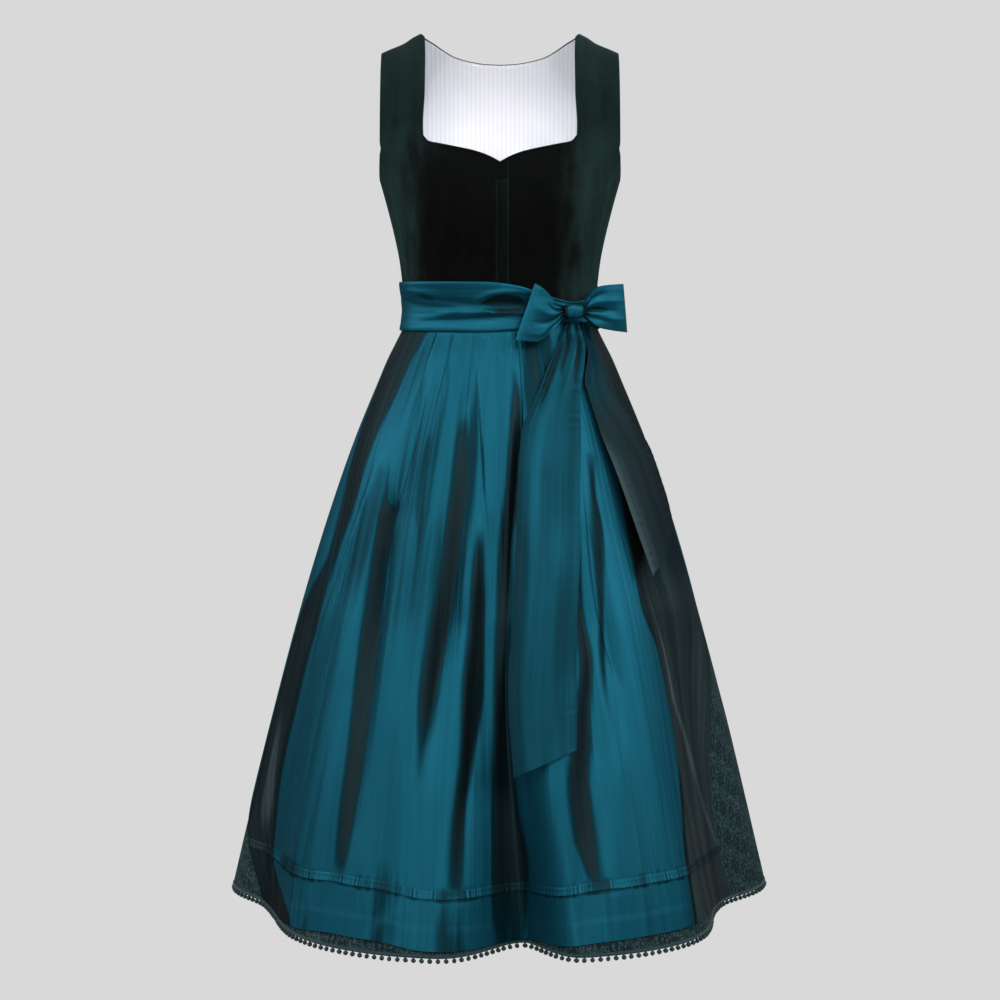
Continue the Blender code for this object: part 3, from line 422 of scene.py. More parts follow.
# Painted shade where the sash's folds close on themselves: the depth is how dark it is.
SASH_SHADES = table(
    CREASE,
    (-12, 19, 352, 347, 352, 1.3, 4.5, 4), (-5, 20, 363, 361.5, 356, 1.2, 3, 3.5),
    (-18, -2, 356, 351, 347, 0.7, 2, 4), (-64, -40, 336, 344, 352, 0.45, 7, 9),
    (-50, -22, 372, 368, 362, 0.4, 5, 6),
)
LOOP_RIGHT = table(
    LOOP,
    (0, 15, 7, 15, -7), (0.35, 27, 12, 32, -24), (0.7, 42, 27, 56, -38), (1, 55, 36, 82, -36),
)
LOOP_LEFT = table(
    LOOP,
    (0, 15, 6, 15, -6), (0.3, 28, 27, 34, -19), (0.65, 48, 34, 57, -24), (1, 73, 36, 79, -27),
)
# A loop's creases run from the knot, share 0, to its tip, share 1, through shares of its width.
LOOP_RIGHT_CREASES = table(
    CREASE,
    (-0.4, 0.62, 0.3, 0.3, 0.24, 3, 0.07, 0.1), (-0.4, 0.85, 0.55, 0.6, 0.66, 3.4, 0.1, 0.06),
    (-0.4, 0.55, 0.78, 0.82, 0.88, 2.6, 0.06, 0.09), (0.2, 1.2, 0.42, 0.4, 0.36, -1.6, 0.12, 0.12),
    (-0.4, 0.5, 0.1, 0.12, 0.12, 2, 0.06, 0.06), (0.3, 1.1, 0.84, 0.86, 0.84, -1.6, 0.08, 0.06),
)
LOOP_LEFT_CREASES = table(
    CREASE,
    (-0.4, 0.78, 0.48, 0.52, 0.58, 4.4, 0.12, 0.07), (-0.4, 0.6, 0.22, 0.2, 0.16, 2.4, 0.06, 0.08),
    (-0.4, 0.66, 0.74, 0.76, 0.82, 2.8, 0.06, 0.09), (0.25, 1.2, 0.36, 0.34, 0.32, -1.6, 0.1, 0.1),
    (0.3, 1.15, 0.78, 0.76, 0.74, -1.8, 0.1, 0.1),
)
TAIL_FRONT = table(
    TAIL,
    (46, 376, 55, 376, 5.5), (40, 393, 57, 393, 6.5), (26.5, 432, 47.5, 432, 8),
    (17, 471, 39, 474, 8), (9.5, 510, 35, 513, 8), (6.5, 573, 30, 574, 7.5), (5, 650, 26, 647, 7),
    (3.5, 741, 21.5, 743, 7), (2, 825, 19, 825, 7), (3, 924, 17.5, 894, 7),
)
TAIL_SIDE = table(
    TAIL,
    (58, 376, 65, 376, 5.5), (54, 412, 62, 412, 7.5), (44, 459, 58, 458, 8), (44, 511, 68, 504, 8),
    (46, 563, 76.5, 551, 8), (48, 629, 76.5, 597, 7.5), (50, 697, 73, 641, 7),
)
# A tail's creases run down between two of its rows, through shares of its width.
TAIL_FRONT_CREASES = table(
    CREASE,
    (-0.6, 2.8, 0.3, 0.4, 0.48, 4.4, 0.14, 0.08), (-0.6, 3, 0.7, 0.78, 0.84, 4, 0.07, 0.13),
    (0.6, 3.4, 0.14, 0.18, 0.24, 2.6, 0.1, 0.1), (1.2, 5, 0.12, 0.16, 0.14, 2.2, 0.08, 0.1),
    (0.8, 4, 0.52, 0.56, 0.6, -1.8, 0.09, 0.09), (3, 9.6, 0.36, 0.44, 0.4, 1.2, 0.2, 0.22),
    (4, 10, 0.74, 0.7, 0.72, -1, 0.18, 0.16),
)
TAIL_SIDE_CREASES = table(
    CREASE,
    (-0.6, 1.8, 0.42, 0.4, 0.34, 3.4, 0.1, 0.12), (-0.6, 2.4, 0.74, 0.66, 0.6, 2.6, 0.08, 0.12),
    (0.8, 4.2, 0.24, 0.3, 0.34, -2, 0.12, 0.14), (2, 6.4, 0.62, 0.58, 0.62, 1.8, 0.16, 0.16),
)
# Stitches, in metres along the cloth
SEAM_FROM_EDGE = 0.008
TAIL_WIDTH = 0.08
TAIL_HEM = 0.0085
STITCH_LENGTH = 0.0032
STITCH_SHARE = 0.68

BACKDROP_GREY = 0.694
FLOOR_DROP = 1.45
FLOOR_RADIUS = 7.0
FLOOR_LIGHT = 0.12
WORLD_LIGHT = 0.030
CAMERA_PLACE = (0.0, -2.9629, -0.3589)
CAMERA_PITCH = 85.113
CAMERA_LENS = 80.0
CAMERA_SENSOR = 36.0

# A softbox stands at an azimuth (0 in front, 90 at the wearer's left) and an elevation, in degrees,
# and a distance in metres from what it lights; its size is in metres.
LIGHT_AIM = Vector((0.0, 0.0, -0.65))
SOFTBOXES = table(
    SOFTBOX,
    ("front_key", -24, 34, 3.6, 2.2, 1.8, 36), ("front_right", -64, 30, 3.4, 1.6, 1.8, 26),
    ("front_left", 30, 34, 3.4, 1.6, 1.6, 36), ("far_left", 66, 26, 3.4, 1.4, 1.6, 26),
    ("side_right", -102, 24, 3.4, 1.8, 2, 38), ("side_left", 104, 26, 3.4, 1.6, 1.8, 26),
    ("front_fill", -4, 4, 3.4, 2, 0.8, 13), ("back_key", 160, 34, 3.6, 2.6, 1.8, 45),
    ("back_right", 205, 30, 3.6, 1.6, 1.8, 16), ("top_inside", 0, 90, 2, 0.9, 0.9, 11),
)
# A narrow light from above the front, through the neck onto the lining
SNOOT = table(SOFTBOX, ("neck_light", 0, 56, 2.6, 0.3, 0.3, 0.5))[0]
SNOOT_SPREAD = 12.0
SNOOT_AIM = Vector((0.0, 0.08, -0.10))


def length(label, about, default, low, high):
    limits = {"default": default, "min": low, "max": high}
    return FloatProperty(name=label, description=about, unit="LENGTH", precision=4, **limits)


def tint(label, about, default):
    return FloatVectorProperty(name=label, description=about, default=default, subtype="COLOR")


class DirndlSizes(bpy.types.PropertyGroup):
    """Sizes that a maker would change"""

    bobble_spacing: length("Bobble Spacing", "From bobble to bobble on the hem", 0.01, 0.006, 0.03)
    stripe_spacing: length("Stripe Spacing", "Repeat of the lining's stripes", 0.006, 0.002, 0.05)
    rosette_spacing: length("Rosette Spacing", "Repeat of the brocade's flowers", 0.034, 0.01, 0.2)
    velvet_thickness: length("Velvet Thickness", "Cloth of the bodice", 0.0014, 0.0002, 0.003)
    taffeta_thickness: length(
        "Taffeta Thickness", "Cloth of the apron, the sash and the bow", 0.0006, 0.0002, 0.002
    )
    brocade_thickness: length("Brocade Thickness", "Cloth of the skirt", 0.001, 0.0002, 0.003)


class DirndlColours(bpy.types.PropertyGroup):
    """Colours that a maker would change"""

    velvet: tint("Velvet", "Velvet where its pile faces the light", (0.0044, 0.0052, 0.0048))
    # A painted sheen: the velvet is mixed to this colour on its straps and sides and along the fly
    velvet_sheen: tint("Velvet Sheen", "Painted sheen of the velvet on its straps and sides", (0.0076, 0.0188, 0.0178))
    taffeta: tint("Taffeta", "Warp colour of the shot taffeta", (0.008, 0.106, 0.162))
    # Painted light of the taffeta, mixed in by the fold attribute: painted shade in its shallow
    # folds and on its folds' flanks, and painted sheen where it hangs turned aside
    taffeta_shade: tint("Taffeta Shade", "Painted shade in the taffeta's shallow folds", (0.003, 0.031, 0.045))
    taffeta_flank_shade: tint("Taffeta Flank Shade", "Painted shade on the flanks of the taffeta's folds", (0.0110, 0.0245, 0.0295))
    taffeta_turned_sheen: tint("Taffeta Turned Sheen", "Painted sheen on taffeta that hangs turned aside", (0.086, 0.132, 0.146))
    # The weft tints the sheen, and a share of it is painted on lit ridges as a highlight
    taffeta_weft: tint("Taffeta Weft", "Weft colour, tinting the sheen, and a painted highlight on lit ridges", (0.36, 0.27, 0.24))
    brocade: tint("Brocade", "Ground and flowers of the brocade", (0.0052, 0.0140, 0.0178))
    lace: tint("Lace", "Curled lines round the brocade's flowers", (0.032, 0.078, 0.086))
    lining: tint("Lining", "Ground of the lining", (0.82, 0.83, 0.87))
    stripes: tint("Stripes", "Stripes of the lining", (0.56, 0.58, 0.68))
    trim: tint("Trim", "Bobble trim of the hem", (0.022, 0.052, 0.058))


# Shader building ----------------------------------------------------------------------------------


def calculation(operation, reflected=False):
    """A method that adds the Math node of an operation on its own socket and another value."""

    def method(socket, *others):
        values = dict(enumerate((socket, *others)[:: -1 if reflected else 1]))
        return socket.finish.node("ShaderNodeMath", {"operation": operation}, values)[0]

    return method


class Socket:
    """A shader's output that can be used in a Python expression."""

    def __init__(self, finish, link):
        self.finish = finish
        self.link = link

    __add__, __radd__ = calculation("ADD"), calculation("ADD", True)
    __sub__, __rsub__ = calculation("SUBTRACT"), calculation("SUBTRACT", True)
    __mul__, __rmul__ = calculation("MULTIPLY"), calculation("MULTIPLY", True)
    __truediv__, __pow__ = calculation("DIVIDE"), calculation("POWER")
    __lt__, __gt__ = calculation("LESS_THAN"), calculation("GREATER_THAN")
    absolute, fraction, floored = (calculation(name) for name in ("ABSOLUTE", "FRACT", "FLOOR"))
    sine, largest, arctangent = (calculation(name) for name in ("SINE", "MAXIMUM", "ARCTAN2"))


class Finish:
    """A material with a Principled surface, built one node at a time."""

    def __init__(self, name):
        self.material = bpy.data.materials.new(name)
        self.material.use_nodes = True
        self.tree = self.material.node_tree
        self.surface = self.tree.nodes["Principled BSDF"]
        # The place on the cloth, and the place in space by its Object coordinates
        place = self.node("ShaderNodeUVMap", {"uv_map": UV_NAME}, {})[0]
        self.across, self.along = self.node("ShaderNodeSeparateXYZ", {}, {0: place})[:2]
        self.spot = self.node("ShaderNodeTexCoord", {}, {})[3]

    def node(self, kind, settings, inputs):
        """A node with its settings, then its sockets' values or links; returns its outputs."""
        node = self.tree.nodes.new(kind)
        for name, value in settings.items():
            setattr(node, name, value)
        for name, value in inputs.items():
            if isinstance(value, Socket):
                self.tree.links.new(value.link, node.inputs[name])
            else:
                node.inputs[name].default_value = value
        return [Socket(self, output) for output in node.outputs]

    def joined(self, x, y, z=0.0):
        return self.node("ShaderNodeCombineXYZ", {}, {0: x, 1: y, 2: z})[0]

    def noise(self, scale, detail=2.0, roughness=0.5, place=None):
        """Noise from 0 to 1 in space, with this many grains to the metre."""
        inputs = {"Vector": place or self.spot, "Scale": scale}
        inputs.update({"Detail": detail, "Roughness": roughness})
        return self.node("ShaderNodeTexNoise", {}, inputs)[0]

    def cloth_noise(self, across, along, detail=2.0, roughness=0.5, shift=(0.0, 0.0)):
        """Noise from 0 to 1 on the cloth, with these grains to the metre across and along it."""
        place = self.joined(self.across * across + shift[0], self.along * along + shift[1])
        return self.noise(1.0, detail, roughness, place)

    def between(self, value, low, high):
        """0 where the value is below low and 1 above high, easing between."""
        inputs = {"Value": value, "From Min": low, "From Max": high}
        return self.node("ShaderNodeMapRange", {"interpolation_type": "SMOOTHSTEP"}, inputs)[0]

    def line(self, distance, core, edge):
        """1 within `core` of a line, 0 beyond `edge`."""
        return 1 - self.between(distance.absolute(), core, edge)

    def mixed(self, share, first, second, **settings):
        """A colour between two, by a share from 0 to 1."""
        inputs = {0: share}
        for slot, value in ((6, first), (7, second)):
            inputs[slot] = value if isinstance(value, Socket) else (*value, 1.0)
        return self.node("ShaderNodeMix", {"data_type": "RGBA", **settings}, inputs)[2]

    def shaded(self, colour, share):
        """A colour made darker or lighter by a factor."""
        return self.mixed(1.0, colour, self.joined(share, share, share), blend_type="MULTIPLY")

    def relief(self, height, distance, normal=None):
        """The surface's direction with a relief of this height, in metres for a value of 1."""
        inputs = {"Height": height, "Distance": distance}
        if normal:
            inputs["Normal"] = normal
        return self.node("ShaderNodeBump", {}, inputs)[0]

    def finished(self, varying, constant):
        for name, value in varying.items():
            self.tree.links.new(value.link, self.surface.inputs[name])
        for name, value in constant.items():
            self.surface.inputs[name].default_value = value
        return self.material


def stitched(finish, off, along):
    """1 on the stitches of a seam; `off` is the distance from its line."""
    return finish.line(off, 0.0003, 0.0006) * ((along / STITCH_LENGTH).fraction() < STITCH_SHARE)


# The fly's stitched lines, its bar tack and a fainter band between the lines are painted in the
# velvet's sheen colour: a painted highlight where the fly's edges catch the light.
FLY_RIGHT = -0.0046
FLY_LEFT = 0.0102
FLY_BEGIN = -0.172
BAR_TACK = -0.1965
FLY_STITCH, TACK_STITCH, FLY_SHINE = 1.1, 1.2, 0.30


def fly_stitch_highlights(finish, x, z):
    """The stitched lines beside the front closure and the bar tack at their top, painted lighter.
    """
    right = finish.line(x - FLY_RIGHT, 0.0004, 0.0012)
    left = finish.line(x - FLY_LEFT, 0.0004, 0.0012)
    tack = finish.line(z - BAR_TACK, 0.0005, 0.0013)
    within = (x > FLY_RIGHT) * (x < FLY_LEFT)
    below_tack = z < BAR_TACK
    lines = (FLY_STITCH * right * below_tack).largest(1.5 * left * (z < FLY_BEGIN))
    return lines.largest(within * (TACK_STITCH * tack).largest(FLY_SHINE * below_tack))


# Where the velvet's painted sheen turns it greener, in metres: beside the front, above the bust
# and on the straps. Below the bust the painted sheen makes its sides lighter as well.
SHEEN_SHIFT = 0.010
SHEEN_ASIDE = (0.080, 0.124)
SHEEN_ABOVE = (-0.185, -0.115)
SHEEN_STRAPS = (0.060, 0.100)
SHEEN_BELOW = (-0.190, -0.110)


def velvet_material(name, colours, sizes):
    """Velvet, near black where it faces the light; painted sheen greens its straps and sides."""
    finish = Finish(name)
    pile = finish.noise(2600.0)
    nap = finish.noise(14.0, 4.0, 0.6)
    crush = finish.cloth_noise(70.0, 11.0, 3.0, 0.6)
    x, y, z = finish.node("ShaderNodeSeparateXYZ", {}, {0: finish.spot})
    worn = 0.5 * (nap + crush) - 0.5
    # Painted sheen beside the front, on the straps above the bust and along the fly
    aside = finish.between((x + SHEEN_SHIFT).absolute() + 0.07 * worn, *SHEEN_ASIDE)
    above = finish.between(z + 0.12 * worn, *SHEEN_ABOVE)
    share = aside.largest(above * finish.between(x.absolute(), *SHEEN_STRAPS))
    share = share.largest(fly_stitch_highlights(finish, x, z) * (y < 0))
    colour = finish.mixed(share * (0.74 + 0.6 * worn), colours.velvet, colours.velvet_sheen)
    # Painted sheen also lightens the sides below the bust
    below = 1 - finish.between(z, *SHEEN_BELOW)
    light = 0.80 + 1.5 * worn + 0.40 * pile
    colour = finish.shaded(colour, light * (0.90 + 1.25 * aside * below))
    varying = {
        "Base Color": colour,
        "Roughness": 0.80 + 0.18 * nap,
        "Normal": finish.relief(pile, 0.00012, finish.relief(nap, 0.004)),
    }
    constant = {
        "Sheen Weight": 0.05,
        "Sheen Roughness": 0.30,
        "Sheen Tint": (0.16, 0.40, 0.36, 1.0),
        "Specular IOR Level": 0.02,
    }
    return finish.finished(varying, constant)


def apron_seams(finish):
    """Stitching along the apron's side hems."""
    half = APRON_WIDTH / 2 * MM
    return stitched(finish, finish.across.absolute() - (half - SEAM_FROM_EDGE), finish.along)


def tail_seams(finish):
    """The narrow hems along a tail's long edges: their stitching and its shadow."""
    from_edge = TAIL_WIDTH / 2 - (finish.across - TAIL_WIDTH / 2).absolute() - TAIL_HEM
    shadow = finish.line(from_edge, 0.0004, 0.0016)
    return (0.5 * stitched(finish, from_edge, finish.along)).largest(0.22 * shadow)


SEAMS = {"apron_taffeta": apron_seams, "tail_taffeta": tail_seams}
# How much of the streaks shows on the taffeta of a piece, where it isn't all
CALM = {"tail_taffeta": 0.5, "bow_taffeta": 0.7}
# How bright the weft's painted highlight on lit ridges is, and the seams, of their colours
LIT_WEFT = 0.34
SEAM_SHADE = 0.35


def taffeta_material(name, colours, sizes):
    """Shot taffeta: teal facing the light, painted brown shade at a slant, fine slubs both ways."""
    finish = Finish(name)
    weft, warp = finish.cloth_noise(40.0, 1400.0), finish.cloth_noise(1500.0, 30.0)
    cloud = finish.cloth_noise(7.0, 5.0, 3.0)
    threads = 0.5 * (weft + warp)
    streaks = finish.cloth_noise(85.0, 3.2, 2.0, 0.55)
    ripples = finish.cloth_noise(26.0, 2.2, 2.5, 0.5, shift=(7.0, 0.0))
    streaks = 0.38 * streaks + 0.62 * ripples
    streaks = 0.5 + CALM.get(name, 1.0) * (streaks - 0.5)
    fold = finish.node("ShaderNodeAttribute", {"attribute_name": PAINTED_SHADE_NAME}, {})[2]
    # Painted light from the fold attribute, broken up by the streaks: painted shade, painted sheen
    # on cloth turned aside and a painted highlight of the weft on lit ridges
    uneven = fold + 1.7 * (streaks - 0.5) + 0.55 * (cloud - 0.5)
    steady = fold + 0.5 * (streaks - 0.5)
    lit_weft = tuple(LIT_WEFT * value for value in colours.taffeta_weft)
    colour = finish.mixed(finish.between(uneven, 0.10, 0.66), colours.taffeta, colours.taffeta_shade)
    colour = finish.mixed(finish.between(uneven, 0.55, 1.05) * 0.96, colour, colours.taffeta_flank_shade)
    colour = finish.mixed(finish.between(steady, 1.35, 2.25), colour, colours.taffeta_turned_sheen)
    colour = finish.mixed(finish.between(steady, 2.35, 3.25) * 0.85, colour, lit_weft)
    colour = finish.shaded(colour, 0.38 + 0.26 * threads + 0.20 * cloud + 0.76 * streaks)
    height = threads
    if name in SEAMS:
        mask = SEAMS[name](finish)
        colour = finish.mixed(mask, colour, tuple(SEAM_SHADE * value for value in colours.taffeta))
        height = threads - 2.0 * mask
    varying = {
        "Base Color": colour,
        "Roughness": 0.42 + 0.10 * threads,
        "Normal": finish.relief(height, 0.00012, finish.relief(streaks, 0.003)),
    }
    constant = {
        "Metallic": 0.72,
        "Specular Tint": (*colours.taffeta_weft, 1.0),
        "Sheen Weight": 0.04,
        "Sheen Roughness": 0.42,
        "Sheen Tint": (*colours.taffeta_weft, 1.0),
        "Specular IOR Level": 0.12,
    }
    return finish.finished(varying, constant)


# A rosette's radii, as shares of a repeat
ROSETTE_HEIGHT = 1.15
PETALS = 6.0
PETAL_RADIUS, PETAL_WAVE = 0.235, 0.055
RING_RADIUS = 0.115
STEM_WAVE = 0.12


def flower_mask(finish, across, along, spacing):
    """1 on the brocade's rosettes, leaves and scrolling stems, repeating with a half drop."""
    x = across / spacing
    y = along / (spacing * ROSETTE_HEIGHT)
    odd = (x.floored() * 0.5).fraction() * 2.0
    px = x.fraction() - 0.5
    py = (y + 0.5 * odd).fraction() - 0.5
    radius = (px * px + py * py) ** 0.5
    turn = py.arctangent(px)
    petals = PETAL_RADIUS + PETAL_WAVE * (PETALS * turn).sine()
    flower = 1 - finish.between(radius - petals, -0.02, 0.02)
    ring = finish.line(radius - RING_RADIUS, 0.012, 0.03)
    eye = 1 - finish.between(radius, 0.03, 0.05)
    veins = finish.line((PETALS * turn + 1.6).sine(), 0.10, 0.32)
    veins = veins * finish.between(radius, 0.13, 0.15)
    rosette = (flower * (1 - ring) * (1 - 0.75 * veins)).largest(eye)
    bend = STEM_WAVE * (2 * math.pi * (y + 0.5 * odd)).sine()
    edge = (x + bend).fraction() - 0.5
    stem = 1 - finish.between((0.5 - edge.absolute()) - 0.02, 0.015, 0.04)
    leaf_x = (2.0 * x + 2.0 * bend).fraction() - 0.5
    leaf_y = (3.0 * y + 0.35).fraction() - 0.5
    across_leaf = (leaf_y + 0.9 * leaf_x).absolute()
    leaf = 1 - finish.between(leaf_x.absolute() * 1.5 + across_leaf * 2.2, 0.30, 0.38)
    around = finish.between(radius, 0.30, 0.34)
    return rosette.largest(leaf * around).largest(stem * around * 0.9)


BROCADE_DRIFT = 0.0052
RIB, TWILL = 0.0011, 0.0013


def brocade_material(name, colours, sizes):
    """Brocade: dark flowers among lighter curled lines, in a coarse weave."""
    finish = Finish(name)
    drift = finish.cloth_noise(120.0, 120.0, 2.0, 0.6)
    other = finish.cloth_noise(120.0, 120.0, 2.0, 0.6, shift=(31.0, 0.0))
    across = finish.across + BROCADE_DRIFT * (drift - 0.5)
    along = finish.along + BROCADE_DRIFT * (other - 0.5)
    flowers = flower_mask(finish, across, along, sizes.rosette_spacing)
    rib = (finish.along * (2 * math.pi / RIB)).sine()
    twill = ((finish.across + finish.along) * (2 * math.pi / TWILL)).sine()
    fuzz = finish.cloth_noise(1100.0, 1100.0)
    speckle = finish.cloth_noise(520.0, 520.0, 3.0, 0.7)
    cloud = finish.noise(11.0, 3.0)
    curl = finish.cloth_noise(225.0, 225.0, 1.0, 0.4, shift=(0.0, 5.0))
    lace = finish.line(curl - 0.5, 0.015, 0.085)
    mask = (0.95 * lace * (1 - flowers)).largest(0.30 * (1 - flowers))
    mask = finish.between(mask + 1.2 * (speckle - 0.5), 0.10, 0.90)
    weave = 0.5 + 0.2 * rib * (1 - mask) + 0.2 * twill * mask + 0.5 * (fuzz - 0.5)
    colour = finish.mixed(mask, colours.brocade, colours.lace)
    colour = finish.shaded(colour, (0.45 + 0.7 * weave + 0.6 * speckle) * (0.7 + 0.5 * cloud))
    varying = {
        "Base Color": colour,
        "Roughness": 0.74 - 0.22 * mask,
        "Normal": finish.relief(0.35 * weave + mask, 0.00030),
    }
    constant = {
        "Specular IOR Level": 0.15,
        "Sheen Weight": 0.04,
        "Sheen Tint": (0.30, 0.60, 0.60, 1.0),
    }
    return finish.finished(varying, constant)


def lining_material(name, colours, sizes):
    """White cotton with a wide and a thin pale stripe in each repeat."""
    finish = Finish(name)
    wobble = finish.cloth_noise(60.0, 14.0)
    phase = (finish.across / sizes.stripe_spacing + 0.10 * wobble).fraction()
    wide, thin = finish.line(phase - 0.5, 0.10, 0.17), finish.line(phase - 0.18, 0.02, 0.05)
    mask = wide.largest(0.5 * thin)
    weave = finish.cloth_noise(1600.0, 1600.0, 1.0)
    soft = finish.noise(22.0, 3.0)
    colour = finish.mixed(mask * 0.34, colours.lining, colours.stripes)
    varying = {
        "Base Color": finish.shaded(colour, 0.93 + 0.07 * weave + 0.05 * soft),
        "Roughness": 0.80 + 0.10 * weave,
        "Normal": finish.relief(0.2 * weave + 0.3 * wide + 1.5 * soft, 0.0005),
    }
    return finish.finished(varying, {"Specular IOR Level": 0.25})


def trim_material(name, colours, sizes):
    """Fluffy yarn of the hem's braid and bobbles."""
    finish = Finish(name)
    fluff = finish.noise(1500.0, 3.0, 0.6)
    patch = finish.noise(300.0, 1.0)
    colour = finish.shaded(colours.trim, 0.5 + 0.7 * fluff + 0.4 * patch)
    varying = {
        "Base Color": colour,
        "Roughness": 0.75 + 0.2 * fluff,
        "Normal": finish.relief(fluff, 0.0007),
    }
    return finish.finished(varying, {"Sheen Weight": 0.15, "Specular IOR Level": 0.25})


MATERIALS = {
    "velvet_pile": velvet_material,
    "figured_brocade": brocade_material,
    "striped_lining": lining_material,
    "bobble_trim": trim_material,
}


def material_of(name):
    """A material by name, made when it is first asked for."""
    if name in bpy.data.materials:
        return bpy.data.materials[name]
    scene = bpy.context.scene
    return MATERIALS.get(name, taffeta_material)(name, scene.dirndl_colours, scene.dirndl_sizes)


# Cloth --------------------------------------------------------------------------------------------


def place(x, y, drop):
    """Points in metres from millimetres."""
    x, y, drop = np.broadcast_arrays(x, y, drop)
    return np.stack([x, y, SHOULDER_TOP - drop], axis=-1).astype(float) * MM


def round_body(angle, radius, drop):
    """Points in metres at an angle round the body."""
    turn = np.radians(angle)
    return place(radius * np.sin(turn), -radius * np.cos(turn), drop)


def curve(xs, ys, at):
    """A smooth curve through points, with no overshoot, read at `at`."""
    xs, ys = np.array(xs, float), np.array(ys, float)
    at = np.clip(at, xs[0], xs[-1])
    slopes = np.diff(ys) / np.diff(xs)
    tangents = np.concatenate([slopes[:1], np.zeros(len(slopes) - 1), slopes[-1:]])
    for k in range(1, len(slopes)):
        if slopes[k - 1] * slopes[k] > 0:
            tangents[k] = 2 * slopes[k - 1] * slopes[k] / (slopes[k - 1] + slopes[k])
    i = np.clip(np.searchsorted(xs, at, side="right") - 1, 0, len(xs) - 2)
    width = xs[i + 1] - xs[i]
    t = (at - xs[i]) / width
    rise = ys[i + 1] - ys[i]
    start, end = tangents[i] * width, tangents[i + 1] * width
    return ys[i] + t * (start + t * (3 * rise - 2 * start - end + t * (start + end - 2 * rise)))


def smooth(rows, column, at):
    """A named column of a table, read smoothly by its first column."""
    return curve([row[0] for row in rows], [getattr(row, column) for row in rows], at)


def ease(share):
    share = np.clip(share, 0.0, 1.0)
    return share * share * (3 - 2 * share)


def wave(at, pitch, shift=0.0):
    """A wave from -1 to 1 that repeats at this pitch."""
    return np.sin(at * 2 * np.pi / pitch + shift)


CREASE_FADE, CREASE_POWER = 0.8, 1.6
DART_FADE, DART_POWER = 0.6, 1.5


def creased(creases, along, across, scale=1.0):
    """The depth of a table's creases; `scale` turns what is across them into their widths' unit."""
    total = np.zeros(np.broadcast(along, across).shape)
    for crease in creases:
        way = np.clip((along - crease.begins) / (crease.ends - crease.begins), 0, 1)
        strength = np.sin(np.pi * way) ** CREASE_FADE
        centre = crease.first * (2 * way - 1) * (way - 1)
        centre = centre + crease.middle * 4 * way * (1 - way) + crease.last * way * (2 * way - 1)
        off = (across - centre) * scale
        width = np.where(off < 0, crease.before, crease.after)
        total += crease.depth * strength * np.exp(-(np.abs(off / width) ** CREASE_POWER))
    return total


def darted(darts, x, drop):
    """The depth of a panel's darts, the same on both sides of its middle."""
    total = np.zeros(np.broadcast(x, drop).shape)
    for dart in darts:
        way = np.clip((drop - dart.begins) / (dart.ends - dart.begins), 0, 1)
        strength = np.sin(np.pi * way) ** DART_FADE
        centre = dart.top_x + (dart.low_x - dart.top_x) * way
        off = np.abs(np.abs(x) - centre) / dart.width
        total += dart.depth * strength * np.exp(-(off**DART_POWER))
    return total


def grid_cells(rows, columns, closed=False):
    """The quads of a grid whose rows run down and whose columns run to the wearer's left."""
    across = columns if closed else columns - 1
    r, c = np.meshgrid(np.arange(rows - 1), np.arange(across), indexing="ij")
    a = r * columns + c
    d = r * columns + (c + 1) % columns
    return np.stack([a, a + columns, d + columns, d], axis=-1).reshape(-1, 4)


def normals_of(points, cells):
    """Each point's outward direction, in the shape of the points."""
    flat = points.reshape(-1, 3)
    corners = flat[cells]
    faces = np.cross(corners[:, 2] - corners[:, 0], corners[:, 3] - corners[:, 1])
    normals = np.zeros_like(flat)
    for k in range(4):
        np.add.at(normals, cells[:, k], faces)
    normals /= np.maximum(np.linalg.norm(normals, axis=1), 1e-12)[:, None]
    return normals.reshape(points.shape)


def sunk(points, cells, depth):
    """Points moved in by a depth in millimetres."""
    depth = np.broadcast_to(depth, points.shape[:-1])[..., None]
    return points - normals_of(points, cells) * depth * MM


def run_along(path):
    """The length of a path from its start to each of its points."""
    return np.concatenate([[0], np.cumsum(np.linalg.norm(np.diff(path, axis=0), axis=1))])


def uv(across, along):
    """UV in metres from millimetres across and along the cloth."""
    return np.stack(np.broadcast_arrays(across, along), axis=-1) * MM


SEAM_SINK, SEAM_REACH, SEAM_POWER = 1.0, 1.6, 1.3
SHARP_ANGLE = 58.0


def seam_roll(distance):
    """How far cloth turns in beside a seam, by the distance from it in millimetres."""
    return SEAM_SINK * np.exp(-((np.maximum(distance, 0) / SEAM_REACH) ** SEAM_POWER))


def edge_roll(columns, step):
    """How far a panel turns in at the seams on both its sides, its columns this far apart."""
    index = np.arange(columns)
    return seam_roll(np.minimum(index, index[::-1]) * step)


def make_piece(name, slot, looks, points, coords, cells, inside=None, fold=None):
    """A mesh piece with its own UV map; the cells from `inside` to its end take the second look."""
    mesh = bpy.data.meshes.new(name)
    mesh.from_pydata(points.tolist(), [], cells)
    layer = mesh.uv_layers.new(name=UV_NAME)
    loops = np.zeros(len(mesh.loops), np.int32)
    mesh.loops.foreach_get("vertex_index", loops)
    layer.data.foreach_set("uv", np.asarray(coords, np.float32)[loops].ravel())
    # `fold` is the painted shade, sheen and highlight that the taffeta paints into its colour
    if fold is not None:
        folds = mesh.attributes.new(PAINTED_SHADE_NAME, "FLOAT", "POINT")
        folds.data.foreach_set("value", np.asarray(fold, np.float32).ravel())
    for look in looks:
        mesh.materials.append(material_of(look))
    if len(looks) > 1:
        index = np.zeros(len(mesh.polygons), np.int32)
        index[slice(*inside)] = 1
        mesh.polygons.foreach_set("material_index", index)
    mesh.shade_smooth()
    mesh.set_sharp_from_angle(angle=math.radians(SHARP_ANGLE))
    obj = bpy.data.objects.new(name, mesh)
    bpy.context.scene.collection.objects.link(obj)
    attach(obj, "root")
    return obj


